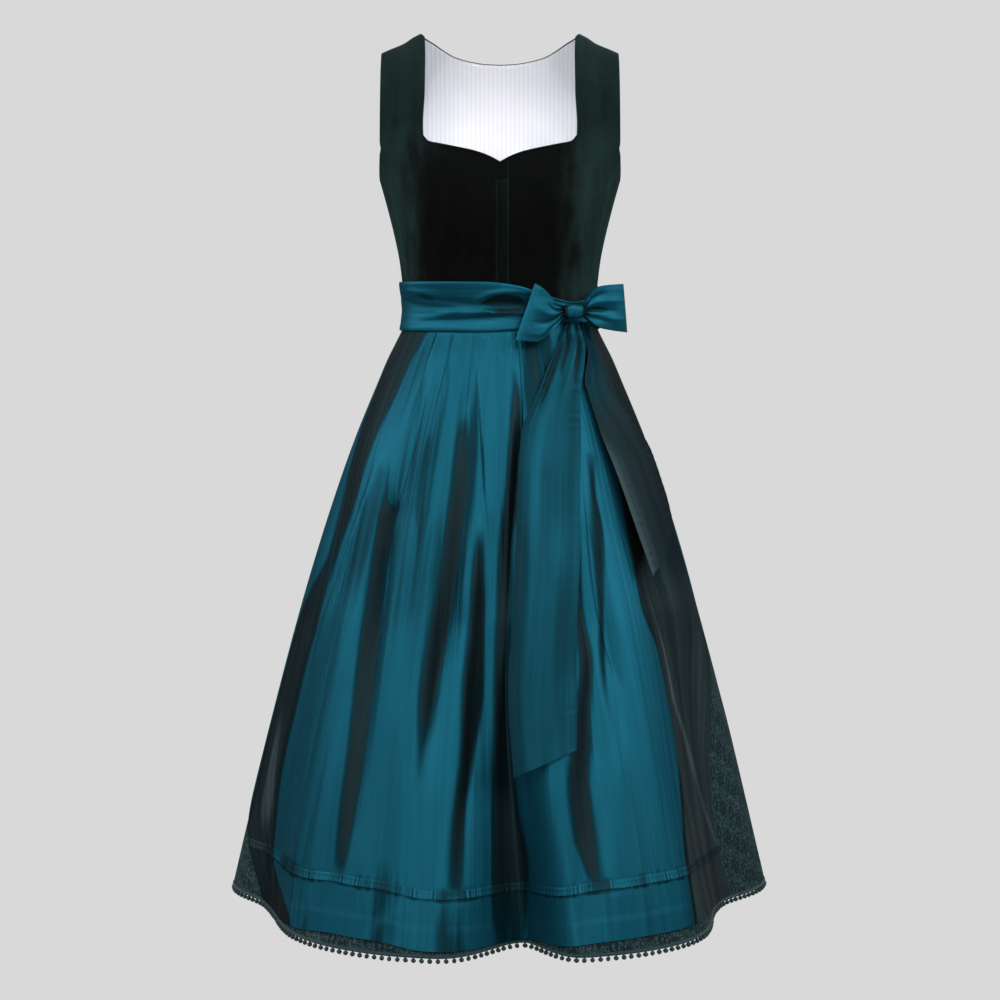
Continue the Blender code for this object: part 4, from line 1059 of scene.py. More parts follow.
def painted_turn_shade(points, form, cells):
    """Painted shade where a fold turns each point away from `form`, the points without their folds.
    """
    normals, plain = normals_of(points, cells), normals_of(form, cells)
    turned = np.degrees(np.arccos(np.clip(np.sum(normals * plain, axis=-1), -1, 1)))
    to_left = plain[..., 0] * normals[..., 1] - plain[..., 1] * normals[..., 0] > 0
    turned = turned * np.where(to_left, 1.0, RIGHT_FLANK)
    return ease((turned - FLANK_TURN) / (FLANK_FULL_TURN - FLANK_TURN))


def make_cloth(name, slot, looks, wall, points, coords, cells, dark=None):
    """A thin closed shell of cloth: its outer face, its inner face and its cut edges.

    Each point keeps in `dark` the painted shade, painted sheen or painted highlight that its folds
    give it, on the scale of the flanks' table.
    """
    points, coords = points.reshape(-1, 3), coords.reshape(-1, 2)
    both = np.vstack([points, points - normals_of(points, cells) * wall])
    fold = None if dark is None else np.tile(np.ravel(dark), 2)
    count = len(points)
    ways = np.concatenate([cells[:, [k, (k + 1) % 4]] for k in range(4)])
    keys = ways[:, 0] * count + ways[:, 1]
    edge = ways[~np.isin(keys, ways[:, 1] * count + ways[:, 0])]
    rim = np.stack([edge[:, 1], edge[:, 0], edge[:, 0] + count, edge[:, 1] + count], axis=1)
    every = np.vstack([cells, cells[:, ::-1] + count, rim])
    inside = (len(cells), 2 * len(cells))
    coords = np.vstack([coords, coords])
    return make_piece(name, slot, looks, both, coords, every.tolist(), inside, fold)


def declare_cloth(nodes):
    """Hides the model's parts that a sheet stands for."""
    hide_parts(*nodes)


# The bodice ---------------------------------------------------------------------------------------


def half_width(drop):
    return smooth(BODICE, "half_width", drop)


def shoulder_drop(x):
    return smooth(SHOULDER, "drop", np.abs(x))


def nape_drop(x):
    return shoulder_drop(x) - NAPE_RISE * np.maximum(0.0, 1 - (x / NECK_EDGE) ** 2)


def climb(apex_drop, drop, close_drop):
    """How far up an arch a drop is, from 0 at its apex to 1 where it closes."""
    return np.clip((apex_drop - drop) / (apex_drop - close_drop), -1.0, 1.0)


def body_depth(column, arch_depth, arch_drop, x, drop, close_drop):
    """The bodice's depth at an x: a table's below a drop, and above it an arch to the shoulder."""
    arch = arch_depth * np.sqrt(1 - climb(arch_drop, drop, close_drop) ** 2)
    share = np.minimum(np.abs(x) / half_width(drop), 1.0)
    section = (1 - share**SECTION_POWER) ** (1 / SECTION_POWER)
    return np.where(drop < arch_drop, arch, smooth(BODICE, column, drop)) * section


def front_point(x, drop):
    return place(x, -body_depth("front", BUST_DEPTH, BUST_DROP, x, drop, shoulder_drop(x)), drop)


def back_point(x, drop):
    return place(x, body_depth("back", BLADE_DEPTH, BLADE_DROP, x, drop, nape_drop(x)), drop)


FRONT_COLUMNS = 66
STRAP_COLUMNS = 26
FRONT_ROWS = 76
STRAP_ROWS = 56
FAR = 400.0
# Beside a seam, distances are stretched by these, which makes its roll narrower.
SEAM_STRETCH = 1.6
FRONT_MIDDLE_STRETCH, BACK_MIDDLE_STRETCH = 1.2, 1.5
MIDDLE_SEAM_BELOW = 176.0
MIDDLE_SINK = 0.6


def front_panel():
    """The wearer's left front: points, UV, cells and the depth of its darts and rolled seam."""
    neck = NECK_CORNER * np.linspace(0, 1, FRONT_COLUMNS - STRAP_COLUMNS + 1)
    across = np.linspace(0, 1, STRAP_COLUMNS)
    top_x = np.concatenate([neck[:-1], NECK_CORNER + (STRAP_OUTER - NECK_CORNER) * across])
    corner = len(neck) - 1
    neckline, base = smooth(NECKLINE, "drop", top_x), smooth(STRAP_BASE, "drop", top_x)
    top_drop = np.where(top_x < NECK_CORNER, neckline, base)
    drop = top_drop + (WAIST - top_drop) * np.linspace(0, 1, FRONT_ROWS)[:, None]
    x = top_x / half_width(top_drop) * half_width(drop)

    up = (np.arange(1, STRAP_ROWS + 1) / STRAP_ROWS)[:, None]
    closing = shoulder_drop(NECK_EDGE + (STRAP_OUTER - NECK_EDGE) * across)
    start = np.arcsin(climb(BUST_DROP, top_drop[corner:], closing))
    angle = start + (math.pi / 2 - start) * up
    inner = smooth(STRAP_INNER, "x", (BUST_DROP - closing) * (1 - np.sin(angle)))
    strap_x = inner + (STRAP_OUTER - inner) * across
    strap_drop = BUST_DROP - (BUST_DROP - shoulder_drop(strap_x)) * np.sin(angle)

    cells = [grid_cells(FRONT_ROWS, len(top_x))]
    below = np.arange(corner, len(top_x))
    for r in range(STRAP_ROWS):
        row = x.size + r * STRAP_COLUMNS + np.arange(STRAP_COLUMNS)
        cells.append(np.stack([row[:-1], below[:-1], below[1:], row[1:]], axis=1))
        below = row
    seam = np.append(SEAM_SHARE * half_width(drop) + 0 * x, np.full(strap_x.size, FAR))
    x, drop = np.append(x, strap_x), np.append(drop, strap_drop)
    depth = darted(FRONT_DARTS, x, drop) + seam_roll((seam - x) * SEAM_STRETCH)
    depth += seam_roll(x * FRONT_MIDDLE_STRETCH) * MIDDLE_SINK * (drop > MIDDLE_SEAM_BELOW)
    return front_point(x, drop), uv(x, -drop), np.vstack(cells), depth


# The armhole lies between these drops, which are halved this often to find it.
ARMHOLE_ABOVE, ARMHOLE_BELOW = 100.0, 220.0
HALVINGS = 30


def side_top(share):
    """The armhole's drop where the side has this share of the half width."""
    reach = STRAP_OUTER + (UNDERARM - STRAP_OUTER) * (share - SEAM_SHARE) / (1 - SEAM_SHARE)
    low, high = np.full_like(share, ARMHOLE_ABOVE), np.full_like(share, ARMHOLE_BELOW)
    for _ in range(HALVINGS):
        middle = (low + high) / 2
        wider = half_width(middle) * share > reach
        low, high = np.where(wider, middle, low), np.where(wider, high, middle)
    return low


SIDE_ROWS = 66
SIDE_COLUMNS = 48
SEAM_ALLOWANCE = 0.03
SIDE_UV_BEGIN, SIDE_UV_WIDTH = 150.0, 120.0
SIDE_SEAM_STEP = 2.6
UNDER_FRONT_SINK = 1.2


def side_panel():
    """The wearer's left side, from under the front's seam round to the back's."""
    start = math.asin(SEAM_SHARE ** (SECTION_POWER / 2))
    first = start - SEAM_ALLOWANCE
    way = np.linspace(0, 1, SIDE_COLUMNS)
    turn = first + (math.pi - start - first) * way
    share = np.sin(turn) ** (2 / SECTION_POWER)
    top = side_top(share)
    drop = top + (WAIST - top) * np.linspace(0, 1, SIDE_ROWS)[:, None]
    x = share * half_width(drop)
    points = np.where((np.cos(turn) > 0)[None, :, None], front_point(x, drop), back_point(x, drop))
    depth = edge_roll(SIDE_COLUMNS, SIDE_SEAM_STEP) + creased(SIDE_FOLDS, drop, way)
    depth = depth + UNDER_FRONT_SINK * ease(1 + (start - turn) / SEAM_ALLOWANCE)
    coords = uv(SIDE_UV_BEGIN + SIDE_UV_WIDTH * way, -drop)
    return points, coords, grid_cells(SIDE_ROWS, SIDE_COLUMNS), depth


BACK_COLUMNS = 101
BACK_ROWS_ABOVE = 50
BACK_ROWS_BELOW = 64


def back_panel():
    """The whole back, from the neckline and the shoulder seams down to the waist."""
    top = side_top(np.array([SEAM_SHARE]))[0]
    x = np.linspace(STRAP_OUTER, -STRAP_OUTER, BACK_COLUMNS)
    nape = nape_drop(x)
    end = np.where(np.abs(x) < NECK_EDGE, smooth(BACK_NECK, "drop", np.abs(x)), nape)
    start, last = (np.arcsin(climb(BLADE_DROP, drop, nape)) for drop in (top, end))
    up = (np.arange(BACK_ROWS_ABOVE, 0, -1) / BACK_ROWS_ABOVE)[:, None]
    above = BLADE_DROP - (BLADE_DROP - nape) * np.sin(start + (last - start) * up)
    below = top + (WAIST - top) * np.linspace(0, 1, BACK_ROWS_BELOW)[:, None] + 0 * x
    drop = np.vstack([above, below])
    width = np.vstack([x + 0 * above, x / STRAP_OUTER * SEAM_SHARE * half_width(below)])
    seam = np.where(drop > top, (SEAM_SHARE * half_width(drop) - np.abs(width)) * SEAM_STRETCH, FAR)
    depth = darted(BACK_DARTS, width, drop) + seam_roll(seam)
    depth += seam_roll(np.abs(width) * BACK_MIDDLE_STRETCH) * MIDDLE_SINK
    return back_point(width, drop), uv(x, -drop), grid_cells(len(drop), BACK_COLUMNS), depth


class DIRNDL_OT_bodice(bpy.types.Operator):
    """Makes the five velvet panels of the bodice, with the lining on their inside"""

    bl_idname = "dirndl.bodice"
    bl_label = "Bodice"

    def execute(self, context):
        wall = context.scene.dirndl_sizes.velvet_thickness
        looks = ["velvet_pile", "striped_lining"]
        halves = (
            ("front", front_panel(), (0.19, 0.36), 0.62),
            ("side", side_panel(), (0.12, 0.20), 0.92),
        )
        for side in ("left", "right"):
            for name, (points, coords, cells, depth), flat, share in halves:
                points = sunk(points, cells, depth)
                if side == "right":
                    points, cells = points * (-1, 1, 1), cells[:, ::-1]
                node, area = f"{name}_{side}", flat[0] * flat[1] * share
                piece = make_cloth(f"velvet_{node}", "velvet", looks, wall, points, coords, cells)
                declare_cloth([node])
        points, coords, cells, depth = back_panel()
        points = sunk(points, cells, depth)
        piece = make_cloth("velvet_back", "velvet", looks, wall, points, coords, cells)
        declare_cloth(["back"])
        return {"FINISHED"}


# The facing leaves out this many of the back's columns on each side, and this many of its rows at
# the neck's edge and at the shoulders'.
FACING_COLUMNS, FACING_NECK_ROWS, FACING_SHOULDER_ROWS = 5, 1, 6


class DIRNDL_OT_lining(bpy.types.Operator):
    """Makes the back's striped facing, just inside it"""

    bl_idname = "dirndl.lining"
    bl_label = "Lining"

    def execute(self, context):
        points, coords, cells, _ = back_panel()
        flat = points.reshape(-1, 3)
        drop = SHOULDER_TOP - flat[:, 2] / MM
        row, column = np.divmod(cells[:, 0], BACK_COLUMNS)
        neck = np.abs(flat[cells][:, :, 0]).max(axis=1) < NECK_EDGE * MM
        column = np.minimum(column, BACK_COLUMNS - 2 - column)
        kept = (drop[cells[:, 1]] < LINING_END) & (column >= FACING_COLUMNS)
        kept &= row >= np.where(neck, FACING_NECK_ROWS, FACING_SHOULDER_ROWS)
        used, cells_kept = np.unique(cells[kept], return_inverse=True)
        surface = (
            sunk(flat, cells, LINING_OFF)[used],
            coords.reshape(-1, 2)[used],
            cells_kept.reshape(-1, 4),
        )
        piece = make_cloth("back_facing", "lining", ["striped_lining"], LINING_WALL, *surface)
        declare_cloth(["back_lining"])
        return {"FINISHED"}


PLACKET_EDGE, PLACKET_WIDTH = 0.4, 12.0
PLACKET_TOP, PLACKET_END = 192.0, 322.0
PLACKET_ROWS, PLACKET_COLUMNS = 60, 15
PLACKET_RISE, PLACKET_OFF = 1.1, 0.2
PLACKET_ROLL, PLACKET_POWER = 1.2, 1.2
PLACKET_CLOTH = 0.0008


class DIRNDL_OT_placket(bpy.types.Operator):
    """Makes the fly over the concealed front closure, with its bar tack"""

    bl_idname = "dirndl.placket"
    bl_label = "Placket"

    def execute(self, context):
        x = np.linspace(PLACKET_EDGE, PLACKET_WIDTH, PLACKET_COLUMNS)
        drop = np.linspace(PLACKET_TOP, PLACKET_END, PLACKET_ROWS)[:, None]
        cells = grid_cells(PLACKET_ROWS, PLACKET_COLUMNS)
        edge = np.minimum(x - PLACKET_EDGE, PLACKET_WIDTH - x)
        roll = np.exp(-((edge / PLACKET_ROLL) ** PLACKET_POWER))
        height = PLACKET_RISE * (1 - roll) + PLACKET_OFF
        points = sunk(front_point(x, drop), cells, -height)
        surface = (points, uv(x, -drop), cells)
        piece = make_cloth("velvet_fly", "velvet", ["velvet_pile"], PLACKET_CLOTH, *surface)
        declare_cloth(["placket"])
        return {"FINISHED"}


NECK_POINTS, STRAP_POINTS, NAPE_POINTS = 46, 50, 40


def neck_path():
    """The neckline all round: the front and its straps, then the back's."""
    level = np.linspace(STRAP_INNER[-1].drop, 1, STRAP_POINTS)
    closing = shoulder_drop(NECK_EDGE)
    strap_drop = closing + (BUST_DROP - closing) * level / BUST_DROP
    strap = front_point(smooth(STRAP_INNER, "x", level), strap_drop)
    x = NECK_CORNER * np.linspace(0, 1, NECK_POINTS)[:-1]
    neckline = front_point(x, smooth(NECKLINE, "drop", x))
    back_x = NECK_EDGE * np.linspace(0.99, 0, NAPE_POINTS)[1:]
    half = np.vstack([neckline, strap, back_point(back_x, smooth(BACK_NECK, "drop", back_x))])
    return np.vstack([half, half[1:-1][::-1] * (-1, 1, 1)])


PIPING_RADIUS = 0.0012
PIPING_SINK = 0.0006
PIPING_SIDES = 8


class DIRNDL_OT_piping(bpy.types.Operator):
    """Makes the narrow piping round the neckline"""

    bl_idname = "dirndl.piping"
    bl_label = "Piping"

    def execute(self, context):
        path = neck_path() - (0, 0, PIPING_SINK)
        step = np.roll(path, -1, axis=0) - np.roll(path, 1, axis=0)
        step /= np.linalg.norm(step, axis=1)[:, None]
        out = path * (1, 1, 0)
        out = out - step * np.sum(out * step, axis=1)[:, None]
        out /= np.linalg.norm(out, axis=1)[:, None]
        up = np.cross(step, out)
        turns = np.arange(PIPING_SIDES) * 2 * np.pi / PIPING_SIDES
        ring = out[:, None] * np.cos(turns)[:, None] + up[:, None] * np.sin(turns)[:, None]
        points = (path[:, None] + ring * PIPING_RADIUS).reshape(-1, 3)
        coords = uv(turns * PIPING_RADIUS / MM, run_along(path)[:, None] / MM)
        cells = grid_cells(len(path) + 1, PIPING_SIDES, closed=True)[:, [0, 3, 2, 1]] % len(points)
        surface = (points, coords.reshape(-1, 2), cells.tolist())
        make_piece("neck_piping", "velvet", ["velvet_pile"], *surface)
        return {"FINISHED"}


# The skirt ----------------------------------------------------------------------------------------


def column_angle(share, drop):
    """The angle of a column; shares 0 to 1 cross the apron, and 1 to 2 pass behind the wearer."""
    share, drop = np.broadcast_arrays(np.asarray(share, float), drop)
    share = np.where(share > 2, share - 2, share)
    right, left = smooth(APRON_EDGE, "right", drop), smooth(APRON_EDGE, "left", drop)
    drops, *edges = zip(*APRON_CLOTH)
    cloth_right, cloth_left = (np.interp(drop, drops, edge) for edge in edges)
    front = cloth_right + (cloth_left - cloth_right) * share
    front = front + (right - cloth_right) * np.maximum(0.0, 1 - share / EDGE_BLEND)
    front = front + (left - cloth_left) * np.maximum(0.0, 1 - (1 - share) / EDGE_BLEND)
    way = share - 1
    back = BACK_FROM + (BACK_TO - BACK_FROM) * way
    back = back + (left - BACK_FROM) * np.maximum(0.0, 1 - way / EDGE_BLEND)
    back = back + (360 + right - BACK_TO) * np.maximum(0.0, 1 - (1 - way) / EDGE_BLEND)
    return np.where(share <= 1, front, back)


def section_radius(rows, angle, drop):
    """The radius at an angle of the section whose widths and depths a table has."""
    side, ahead = np.sin(np.radians(angle)), np.cos(np.radians(angle))
    depth = np.where(ahead > 0, smooth(rows, "front", drop), smooth(rows, "back", drop))
    across, along = np.abs(side) / smooth(rows, "half_width", drop), np.abs(ahead) / depth
    return (across**SECTION_POWER + along**SECTION_POWER) ** (-1 / SECTION_POWER)


def skirt_radius(angle, drop):
    """The skirt's radius without its folds."""
    return section_radius(SKIRT, angle, drop)


def trough_depth(angle, drop):
    """How deep the skirt's long folds sink it."""
    total = np.zeros(np.broadcast(angle, drop).shape)
    above = drop < TROUGH_MIDDLE
    for fold in TROUGHS:
        way = (drop - WAIST) / (TROUGH_MIDDLE - WAIST)
        low = (drop - TROUGH_MIDDLE) / (TROUGH_END - TROUGH_MIDDLE)
        upper = fold.top + (fold.middle - fold.top) * way
        centre = np.where(above, upper, fold.middle + (fold.hem - fold.middle) * low)
        grown = fold.depth_middle * ease((drop - fold.begins) / (TROUGH_MIDDLE - fold.begins))
        lower = fold.depth_middle + (fold.depth_hem - fold.depth_middle) * low
        depth = np.where(above, grown, lower)
        off = (angle - centre + 180) % 360 - 180
        width = np.where(off < 0, fold.width_before, fold.width_after)
        total += depth * np.exp(-((np.abs(off) / width) ** TROUGH_POWER))
    return total


def flanked(angle, drop, scale):
    """How deep the flanks sink the cloth, in millimetres, and the painted light they give it."""
    depth = np.zeros(np.broadcast(angle, drop).shape)
    dark = np.zeros_like(depth)
    for rows in FLANKS.values():
        drops, *columns = np.array(rows, float).T
        before, after, sinks, turns, soft = (curve(drops, column, drop) for column in columns)
        within = (drop >= drops[0]) & (drop <= drops[-1])
        into, past = (angle - before) * scale, (angle - after) * scale
        way = np.clip(into / np.maximum(into - past, 1e-6), 0, 1)
        rise = np.exp(-((np.maximum(past, 0) / FLANK_RECOVERY) ** RECOVERY_POWER))
        depth = depth + sinks * ease(way) * rise * within
        share = ease(into / soft + 0.5) * (1 - ease(past / soft + 0.5))
        dark = np.maximum(dark, turns * share * within)
    return depth, dark


def pleat_height(share, drop):
    """How far the apron's pressed pleats and the gathers behind raise the cloth."""
    grown = ease((drop - PLEAT_BEGIN) / PLEAT_GROWTH)
    around = share - 1
    # Slow waves set the gathers at uneven places and give them uneven lengths.
    uneven = around + 0.006 * np.sin(37 * around) + 0.004 * np.sin(83 * around + 1.0)
    gathers = 0.5 - 0.5 * np.cos(2 * np.pi * GATHER_WAVES * uneven)
    length = GATHER_LENGTH * (0.75 + 0.5 * (0.5 + 0.5 * np.sin(61 * around + 2.0)))
    behind = GATHER_STEP * gathers * grown * (1 - ease((drop - PLEAT_BEGIN) / length))
    height = np.zeros(np.broadcast(share, drop).shape)
    for pleat in APRON_PLEATS:
        past = (share - pleat.share) * (-1 if pleat.folds_back else 1)
        height += np.where((past >= 0) & (past < PLEAT_RUN), PLEAT_STEP * (1 - past / PLEAT_RUN), 0)
    before = height * grown * (1 - ease((drop - PLEAT_BEGIN) / PLEAT_LENGTH))
    return np.where(share > 1, behind, before)


BEHIND_RIGHT = -98.0


def skirt_surface(share, drop):
    """The outer points of the skirt's form."""
    share, drop = np.broadcast_arrays(np.asarray(share, float), np.asarray(drop, float))
    share = np.where(share > 2, share - 2, share)
    angle = column_angle(share, drop)
    plain = skirt_radius(angle, drop)
    scale = np.radians(1) * plain
    turned = np.where(angle < BEHIND_RIGHT, angle + 360, angle)
    radius = plain - trough_depth(angle, drop) - creased(SKIRT_CREASES, drop, turned, scale)
    radius = radius - flanked(angle, drop, scale)[0] + pleat_height(share, drop)
    return round_body(angle, radius, drop)


def apron_end(share):
    return SKIRT_CLOTH_END - smooth(APRON_HEM, "rise", column_angle(share, SKIRT_CLOTH_END))


HEM_SHARES = np.linspace(0, 2, 1441)


def hem_line():
    """The hem's points, the last on the first, and the length along it at each."""
    line = skirt_surface(HEM_SHARES, SKIRT_CLOTH_END)
    return line, run_along(line)


COVER_BEGIN, COVER_EASE = 0.012, 0.03
COVER_HEM, COVER_HEM_EASE = 70.0, 50.0


def covered(share, drop):
    """How far the brocade lies under the apron, from 0 to 1, a little in from the apron's edges."""
    share = np.where(share > 2, share - 2, share)
    first, last = (share - COVER_BEGIN) / COVER_EASE, (1 - COVER_BEGIN - share) / COVER_EASE
    hem = 1 - ease((drop - SKIRT_CLOTH_END + COVER_HEM) / COVER_HEM_EASE)
    return ease(first) * ease(last) * (share < 1) * hem


GORE_SINK, GORE_SEAM_STEP = 0.8, 2.4


class DIRNDL_OT_skirt(bpy.types.Operator):
    """Makes the six brocade gores of the skirt"""

    bl_idname = "dirndl.skirt"
    bl_label = "Skirt"

    def execute(self, context):
        wall = context.scene.dirndl_sizes.brocade_thickness
        _, lengths = hem_line()
        drop = np.linspace(SKIRT_TOP, SKIRT_CLOTH_END, GORE_ROWS)[:, None]
        for gore in GORES:
            share = np.linspace(gore.first, gore.last, gore.columns)
            cells = grid_cells(GORE_ROWS, gore.columns)
            points = sunk(skirt_surface(share, drop), cells, covered(share, drop) * UNDER_APRON)
            points = sunk(points, cells, GORE_SINK * edge_roll(gore.columns, GORE_SEAM_STEP))
            cloth = lengths[-1] * (share // 2) + np.interp(share % 2, HEM_SHARES, lengths)
            coords = uv(cloth / MM, -drop)
            looks = ["figured_brocade"]
            piece = make_cloth(gore.piece, "brocade", looks, wall, points, coords, cells)
            declare_cloth([gore.node])
        return {"FINISHED"}


# The braid's section, from its top: a drop below the skirt's cloth and a height off its line
BRAID = table(
    "below off",
    (-1.2, -0.1), (-0.2, 0.0), (0.5, 0.9), (1.8, 1.2), (2.8, 0.9), (3.4, 0.0),
)
BRAID_WAVE, BRAID_PITCH = 0.25, 0.0042
BRAID_WALL = 0.0009
BOBBLE_INSET = 0.2
BOBBLE_SWING = 6.0


def ring_read(values, lengths, at):
    """Rows of values round the hem, read at lengths along it."""
    closed = np.vstack([values, values[:1]])
    return np.stack([np.interp(at, lengths, column) for column in closed.T], axis=1)


def bobbles(middle, face):
    """Points and cells of a ball at each place, with its way out from the hem, all a bit uneven."""
    draws = np.random.default_rng(7).uniform((0.92, 0, -0.5), (1.08, 1, 0.5), (len(middle), 3))
    size, spin, lean = draws.T[:, :, None, None]
    below, radius = np.array(BOBBLE).T[:, :, None]
    turn = 2 * np.pi * (np.arange(BALL_SIDES) + spin) / BALL_SIDES
    out = np.cos(turn) * radius * size - BOBBLE_INSET
    side = np.sin(turn) * radius * size + lean * np.maximum(below, 0) / BOBBLE_SWING
    along = np.column_stack([-face[:, 1], face[:, 0], 0 * face[:, 0]])
    out, side = (part[..., None] * way[:, None, None] for part, way in ((out, face), (side, along)))
    points = middle[:, None, None] + (out + side) * MM
    points[..., 2] -= (STRIP_HEIGHT + below) * MM
    step = below.size * BALL_SIDES
    ball = grid_cells(below.size, BALL_SIDES, closed=True).tolist()
    ball += [list(range(BALL_SIDES)), list(range(step - 1, step - 1 - BALL_SIDES, -1))]
    firsts = range(0, step * len(middle), step)
    cells = [[first + corner for corner in cell] for first in firsts for cell in ball]
    return points.reshape(-1, 3), cells


class DIRNDL_OT_hem_trim(bpy.types.Operator):
    """Makes the braid below the skirt's hem and the bobbles that hang from it"""

    bl_idname = "dirndl.hem_trim"
    bl_label = "Hem Trim"

    def execute(self, context):
        line, lengths = hem_line()
        line, girth = line[:-1], float(lengths[-1])
        step = np.roll(line, -1, axis=0) - np.roll(line, 1, axis=0)
        out = np.column_stack([step[:, 1], -step[:, 0], np.zeros(len(step))])
        out /= np.linalg.norm(out, axis=1)[:, None]
        ripple = BRAID_WAVE * wave(lengths[:-1], BRAID_PITCH)
        below, off = np.array(BRAID).T[:, :, None]
        points = line + out * ((off + ripple * (off > 0.5)) * MM)[..., None]
        points[..., 2] -= below * MM
        coords = uv(lengths[:-1] / MM, np.arange(below.size)[:, None])
        cells = grid_cells(below.size, len(line), closed=True)
        looks = ["bobble_trim"]
        braid = make_cloth("hem_braid", "trim", looks, BRAID_WALL, points, coords, cells)
        declare_cloth(["hem_trim"])

        count = round(girth / context.scene.dirndl_sizes.bobble_spacing)
        where = np.arange(count) * girth / count
        points, cells = bobbles(ring_read(line, lengths, where), ring_read(out, lengths, where))
        balls = make_piece("hem_bobbles", "trim", looks, points, points[:, ::2], cells)
        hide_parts("hem_trim")
        return {"FINISHED"}


# The apron ----------------------------------------------------------------------------------------


def pucker(across, along=0.0):
    """The uneven little gathers that the tuck's stitching draws up, from -1 to 1."""
    bunch = 0.5 + 0.5 * wave(across, 83.0, 1.2 * wave(across, 190.0))
    fine = wave(across, 9.5, 1.9 * wave(across, 47.0) + 0.4 * along)
    return (0.15 + 0.85 * bunch**2) * fine


# The apron's rows stand closer together from above the tuck to below it.
CLOSE_ABOVE, CLOSE_BELOW = 14.0, 24.0
APRON_ROWS = (92, 22, 14)
PUCKER_DEPTH, PUCKER_REACH, PUCKER_POWER = 0.8, 9.0, 1.2
# The hem and the sides are turned in by these widths, and step down over these lengths.
HEM_STEP, HEM_TURNED, SIDE_TURNED = 0.35, 26.0, 8.0
HEM_EASE, SIDE_EASE = 3.0, 2.5
# The painted shadows under the tuck and over it: how far off each lies, how wide and how dark it is
TUCK_SHADOWS = table(
    "off width dark",
    (2.0, 2.0, 0.55), (3.0, 2.6, 0.22),
)
# How much the painted shadow under the tuck wavers, and the painted shade on the drawn puckers
SHADOW_WAVE, DRAWN_SHADE = 0.13, 0.30


def apron_surface():
    """The apron's outer points, its UV, its cells and the painted shade, sheen and highlight of its
    folds.
    """
    share = np.linspace(0, 1, APRON_COLUMNS)
    end = apron_end(share)
    tuck = end - APRON_BAND
    levels = [SKIRT_TOP + 0 * end, tuck - CLOSE_ABOVE, tuck + CLOSE_BELOW, end]
    bands = [
        first + (last - first) * np.linspace(0, 1, count)[:-1, None]
        for first, last, count in zip(levels, levels[1:], APRON_ROWS)
    ]
    drop = np.vstack([*bands, end])
    cells = grid_cells(*drop.shape)
    across = (share - 0.5) * APRON_WIDTH
    below = drop - tuck
    away = (np.maximum(below - TUCK_HEIGHT, -below) / PUCKER_REACH).clip(0)
    near = np.exp(-(away**PUCKER_POWER))
    depth = PUCKER_DEPTH * pucker(across) * near - APRON_OFF
    depth = depth - HEM_STEP * ease((HEM_TURNED - (end - drop)) / HEM_EASE)
    edge = APRON_WIDTH / 2 - np.abs(across)
    depth = depth - HEM_STEP * (1 - ease((edge - SIDE_TURNED) / SIDE_EASE))
    points = sunk(skirt_surface(share, drop), cells, depth)

    # Painted light: the flanks', painted shadows under and over the tuck, painted shade on puckers
    # and on turned folds
    angle = column_angle(share, drop)
    radius = skirt_radius(angle, drop)
    dark = flanked(angle, drop, np.radians(1) * radius)[1]
    under, over = TUCK_SHADOWS
    under_tuck = np.exp(-(((below - TUCK_HEIGHT - under.off) / under.width) ** 2))
    over_tuck = np.exp(-(((below + over.off) / over.width) ** 2))
    ragged = under.dark + SHADOW_WAVE * wave(across, 29.0, 2.2 * wave(across, 107.0))
    drawn = DRAWN_SHADE * np.maximum(pucker(across), 0) * near
    dark = np.maximum(dark, under_tuck * ragged + over.dark * over_tuck + drawn)
    dark = np.maximum(dark, painted_turn_shade(points, round_body(angle, radius, drop), cells))
    return points, uv(across, -drop), cells, dark


# The tuck's section, from its top: a drop below its stitching and a height off the apron
TUCK = table(
    "below off",
    (-1.5, 0.2), (0.0, 0.7), (2.0, 0.8), (5.0, 1.1), (7.2, 1.7), (8.4, 1.7), (8.8, 1.2), (8.3, 0.3),
)
TUCK_COLUMNS = 900
TUCK_WALL = 0.0004
# The tuck's own gathers are finer than the apron's. Both pull it, more towards its edge.
FINER, FINE_PULL, PUCKER_PULL = 1.9, 0.30, 0.40
# Painted shade on the whole tuck and on its fine gathers, and the darkest it may be painted
TUCK_SHADE, FINE_SHADE, DARKEST_TUCK = 0.34, 0.35, 1.6


def tuck_surface():
    """The tuck's outer points, its UV, its cells and its painted shade."""
    share = np.linspace(0, 1, TUCK_COLUMNS)
    below, off = np.array(TUCK).T[:, :, None]
    drop = apron_end(share) - APRON_BAND + below
    across = (share - 0.5) * APRON_WIDTH
    cells = grid_cells(*drop.shape)
    fine = pucker(across * FINER + 31.0, 1.0)
    pull = FINE_PULL * fine - PUCKER_PULL * pucker(across)
    height = APRON_OFF + off + pull * (0.5 + 0.06 * below)
    points = sunk(skirt_surface(share, drop), cells, -height)
    angle = column_angle(share, drop)
    dark = flanked(angle, drop, np.radians(1) * skirt_radius(angle, drop))[1]
    dark = np.maximum(dark, TUCK_SHADE + 0.5 * dark) + FINE_SHADE * fine
    dark = np.minimum(dark, DARKEST_TUCK)
    return points, uv(across, -drop), cells, dark


class DIRNDL_OT_apron(bpy.types.Operator):
    """Makes the taffeta apron, pleated at its top, and the tuck above its hem"""

    bl_idname = "dirndl.apron"
    bl_label = "Apron"

    def execute(self, context):
        wall = context.scene.dirndl_sizes.taffeta_thickness
        looks = ["apron_taffeta"]
        piece = make_cloth("taffeta_apron", "taffeta", looks, wall, *apron_surface())
        declare_cloth(["apron"])
        piece = make_cloth("taffeta_tuck", "taffeta", looks, TUCK_WALL, *tuck_surface())
        declare_cloth(["apron_tuck"])
        return {"FINISHED"}


# The sash, its bow and tails ----------------------------------------------------------------------


def body_radius(angle, drop):
    """The radius of the bodice, or of the apron where that is larger."""
    return np.maximum(section_radius(BODICE, angle, drop), skirt_radius(angle, drop) + APRON_OFF)


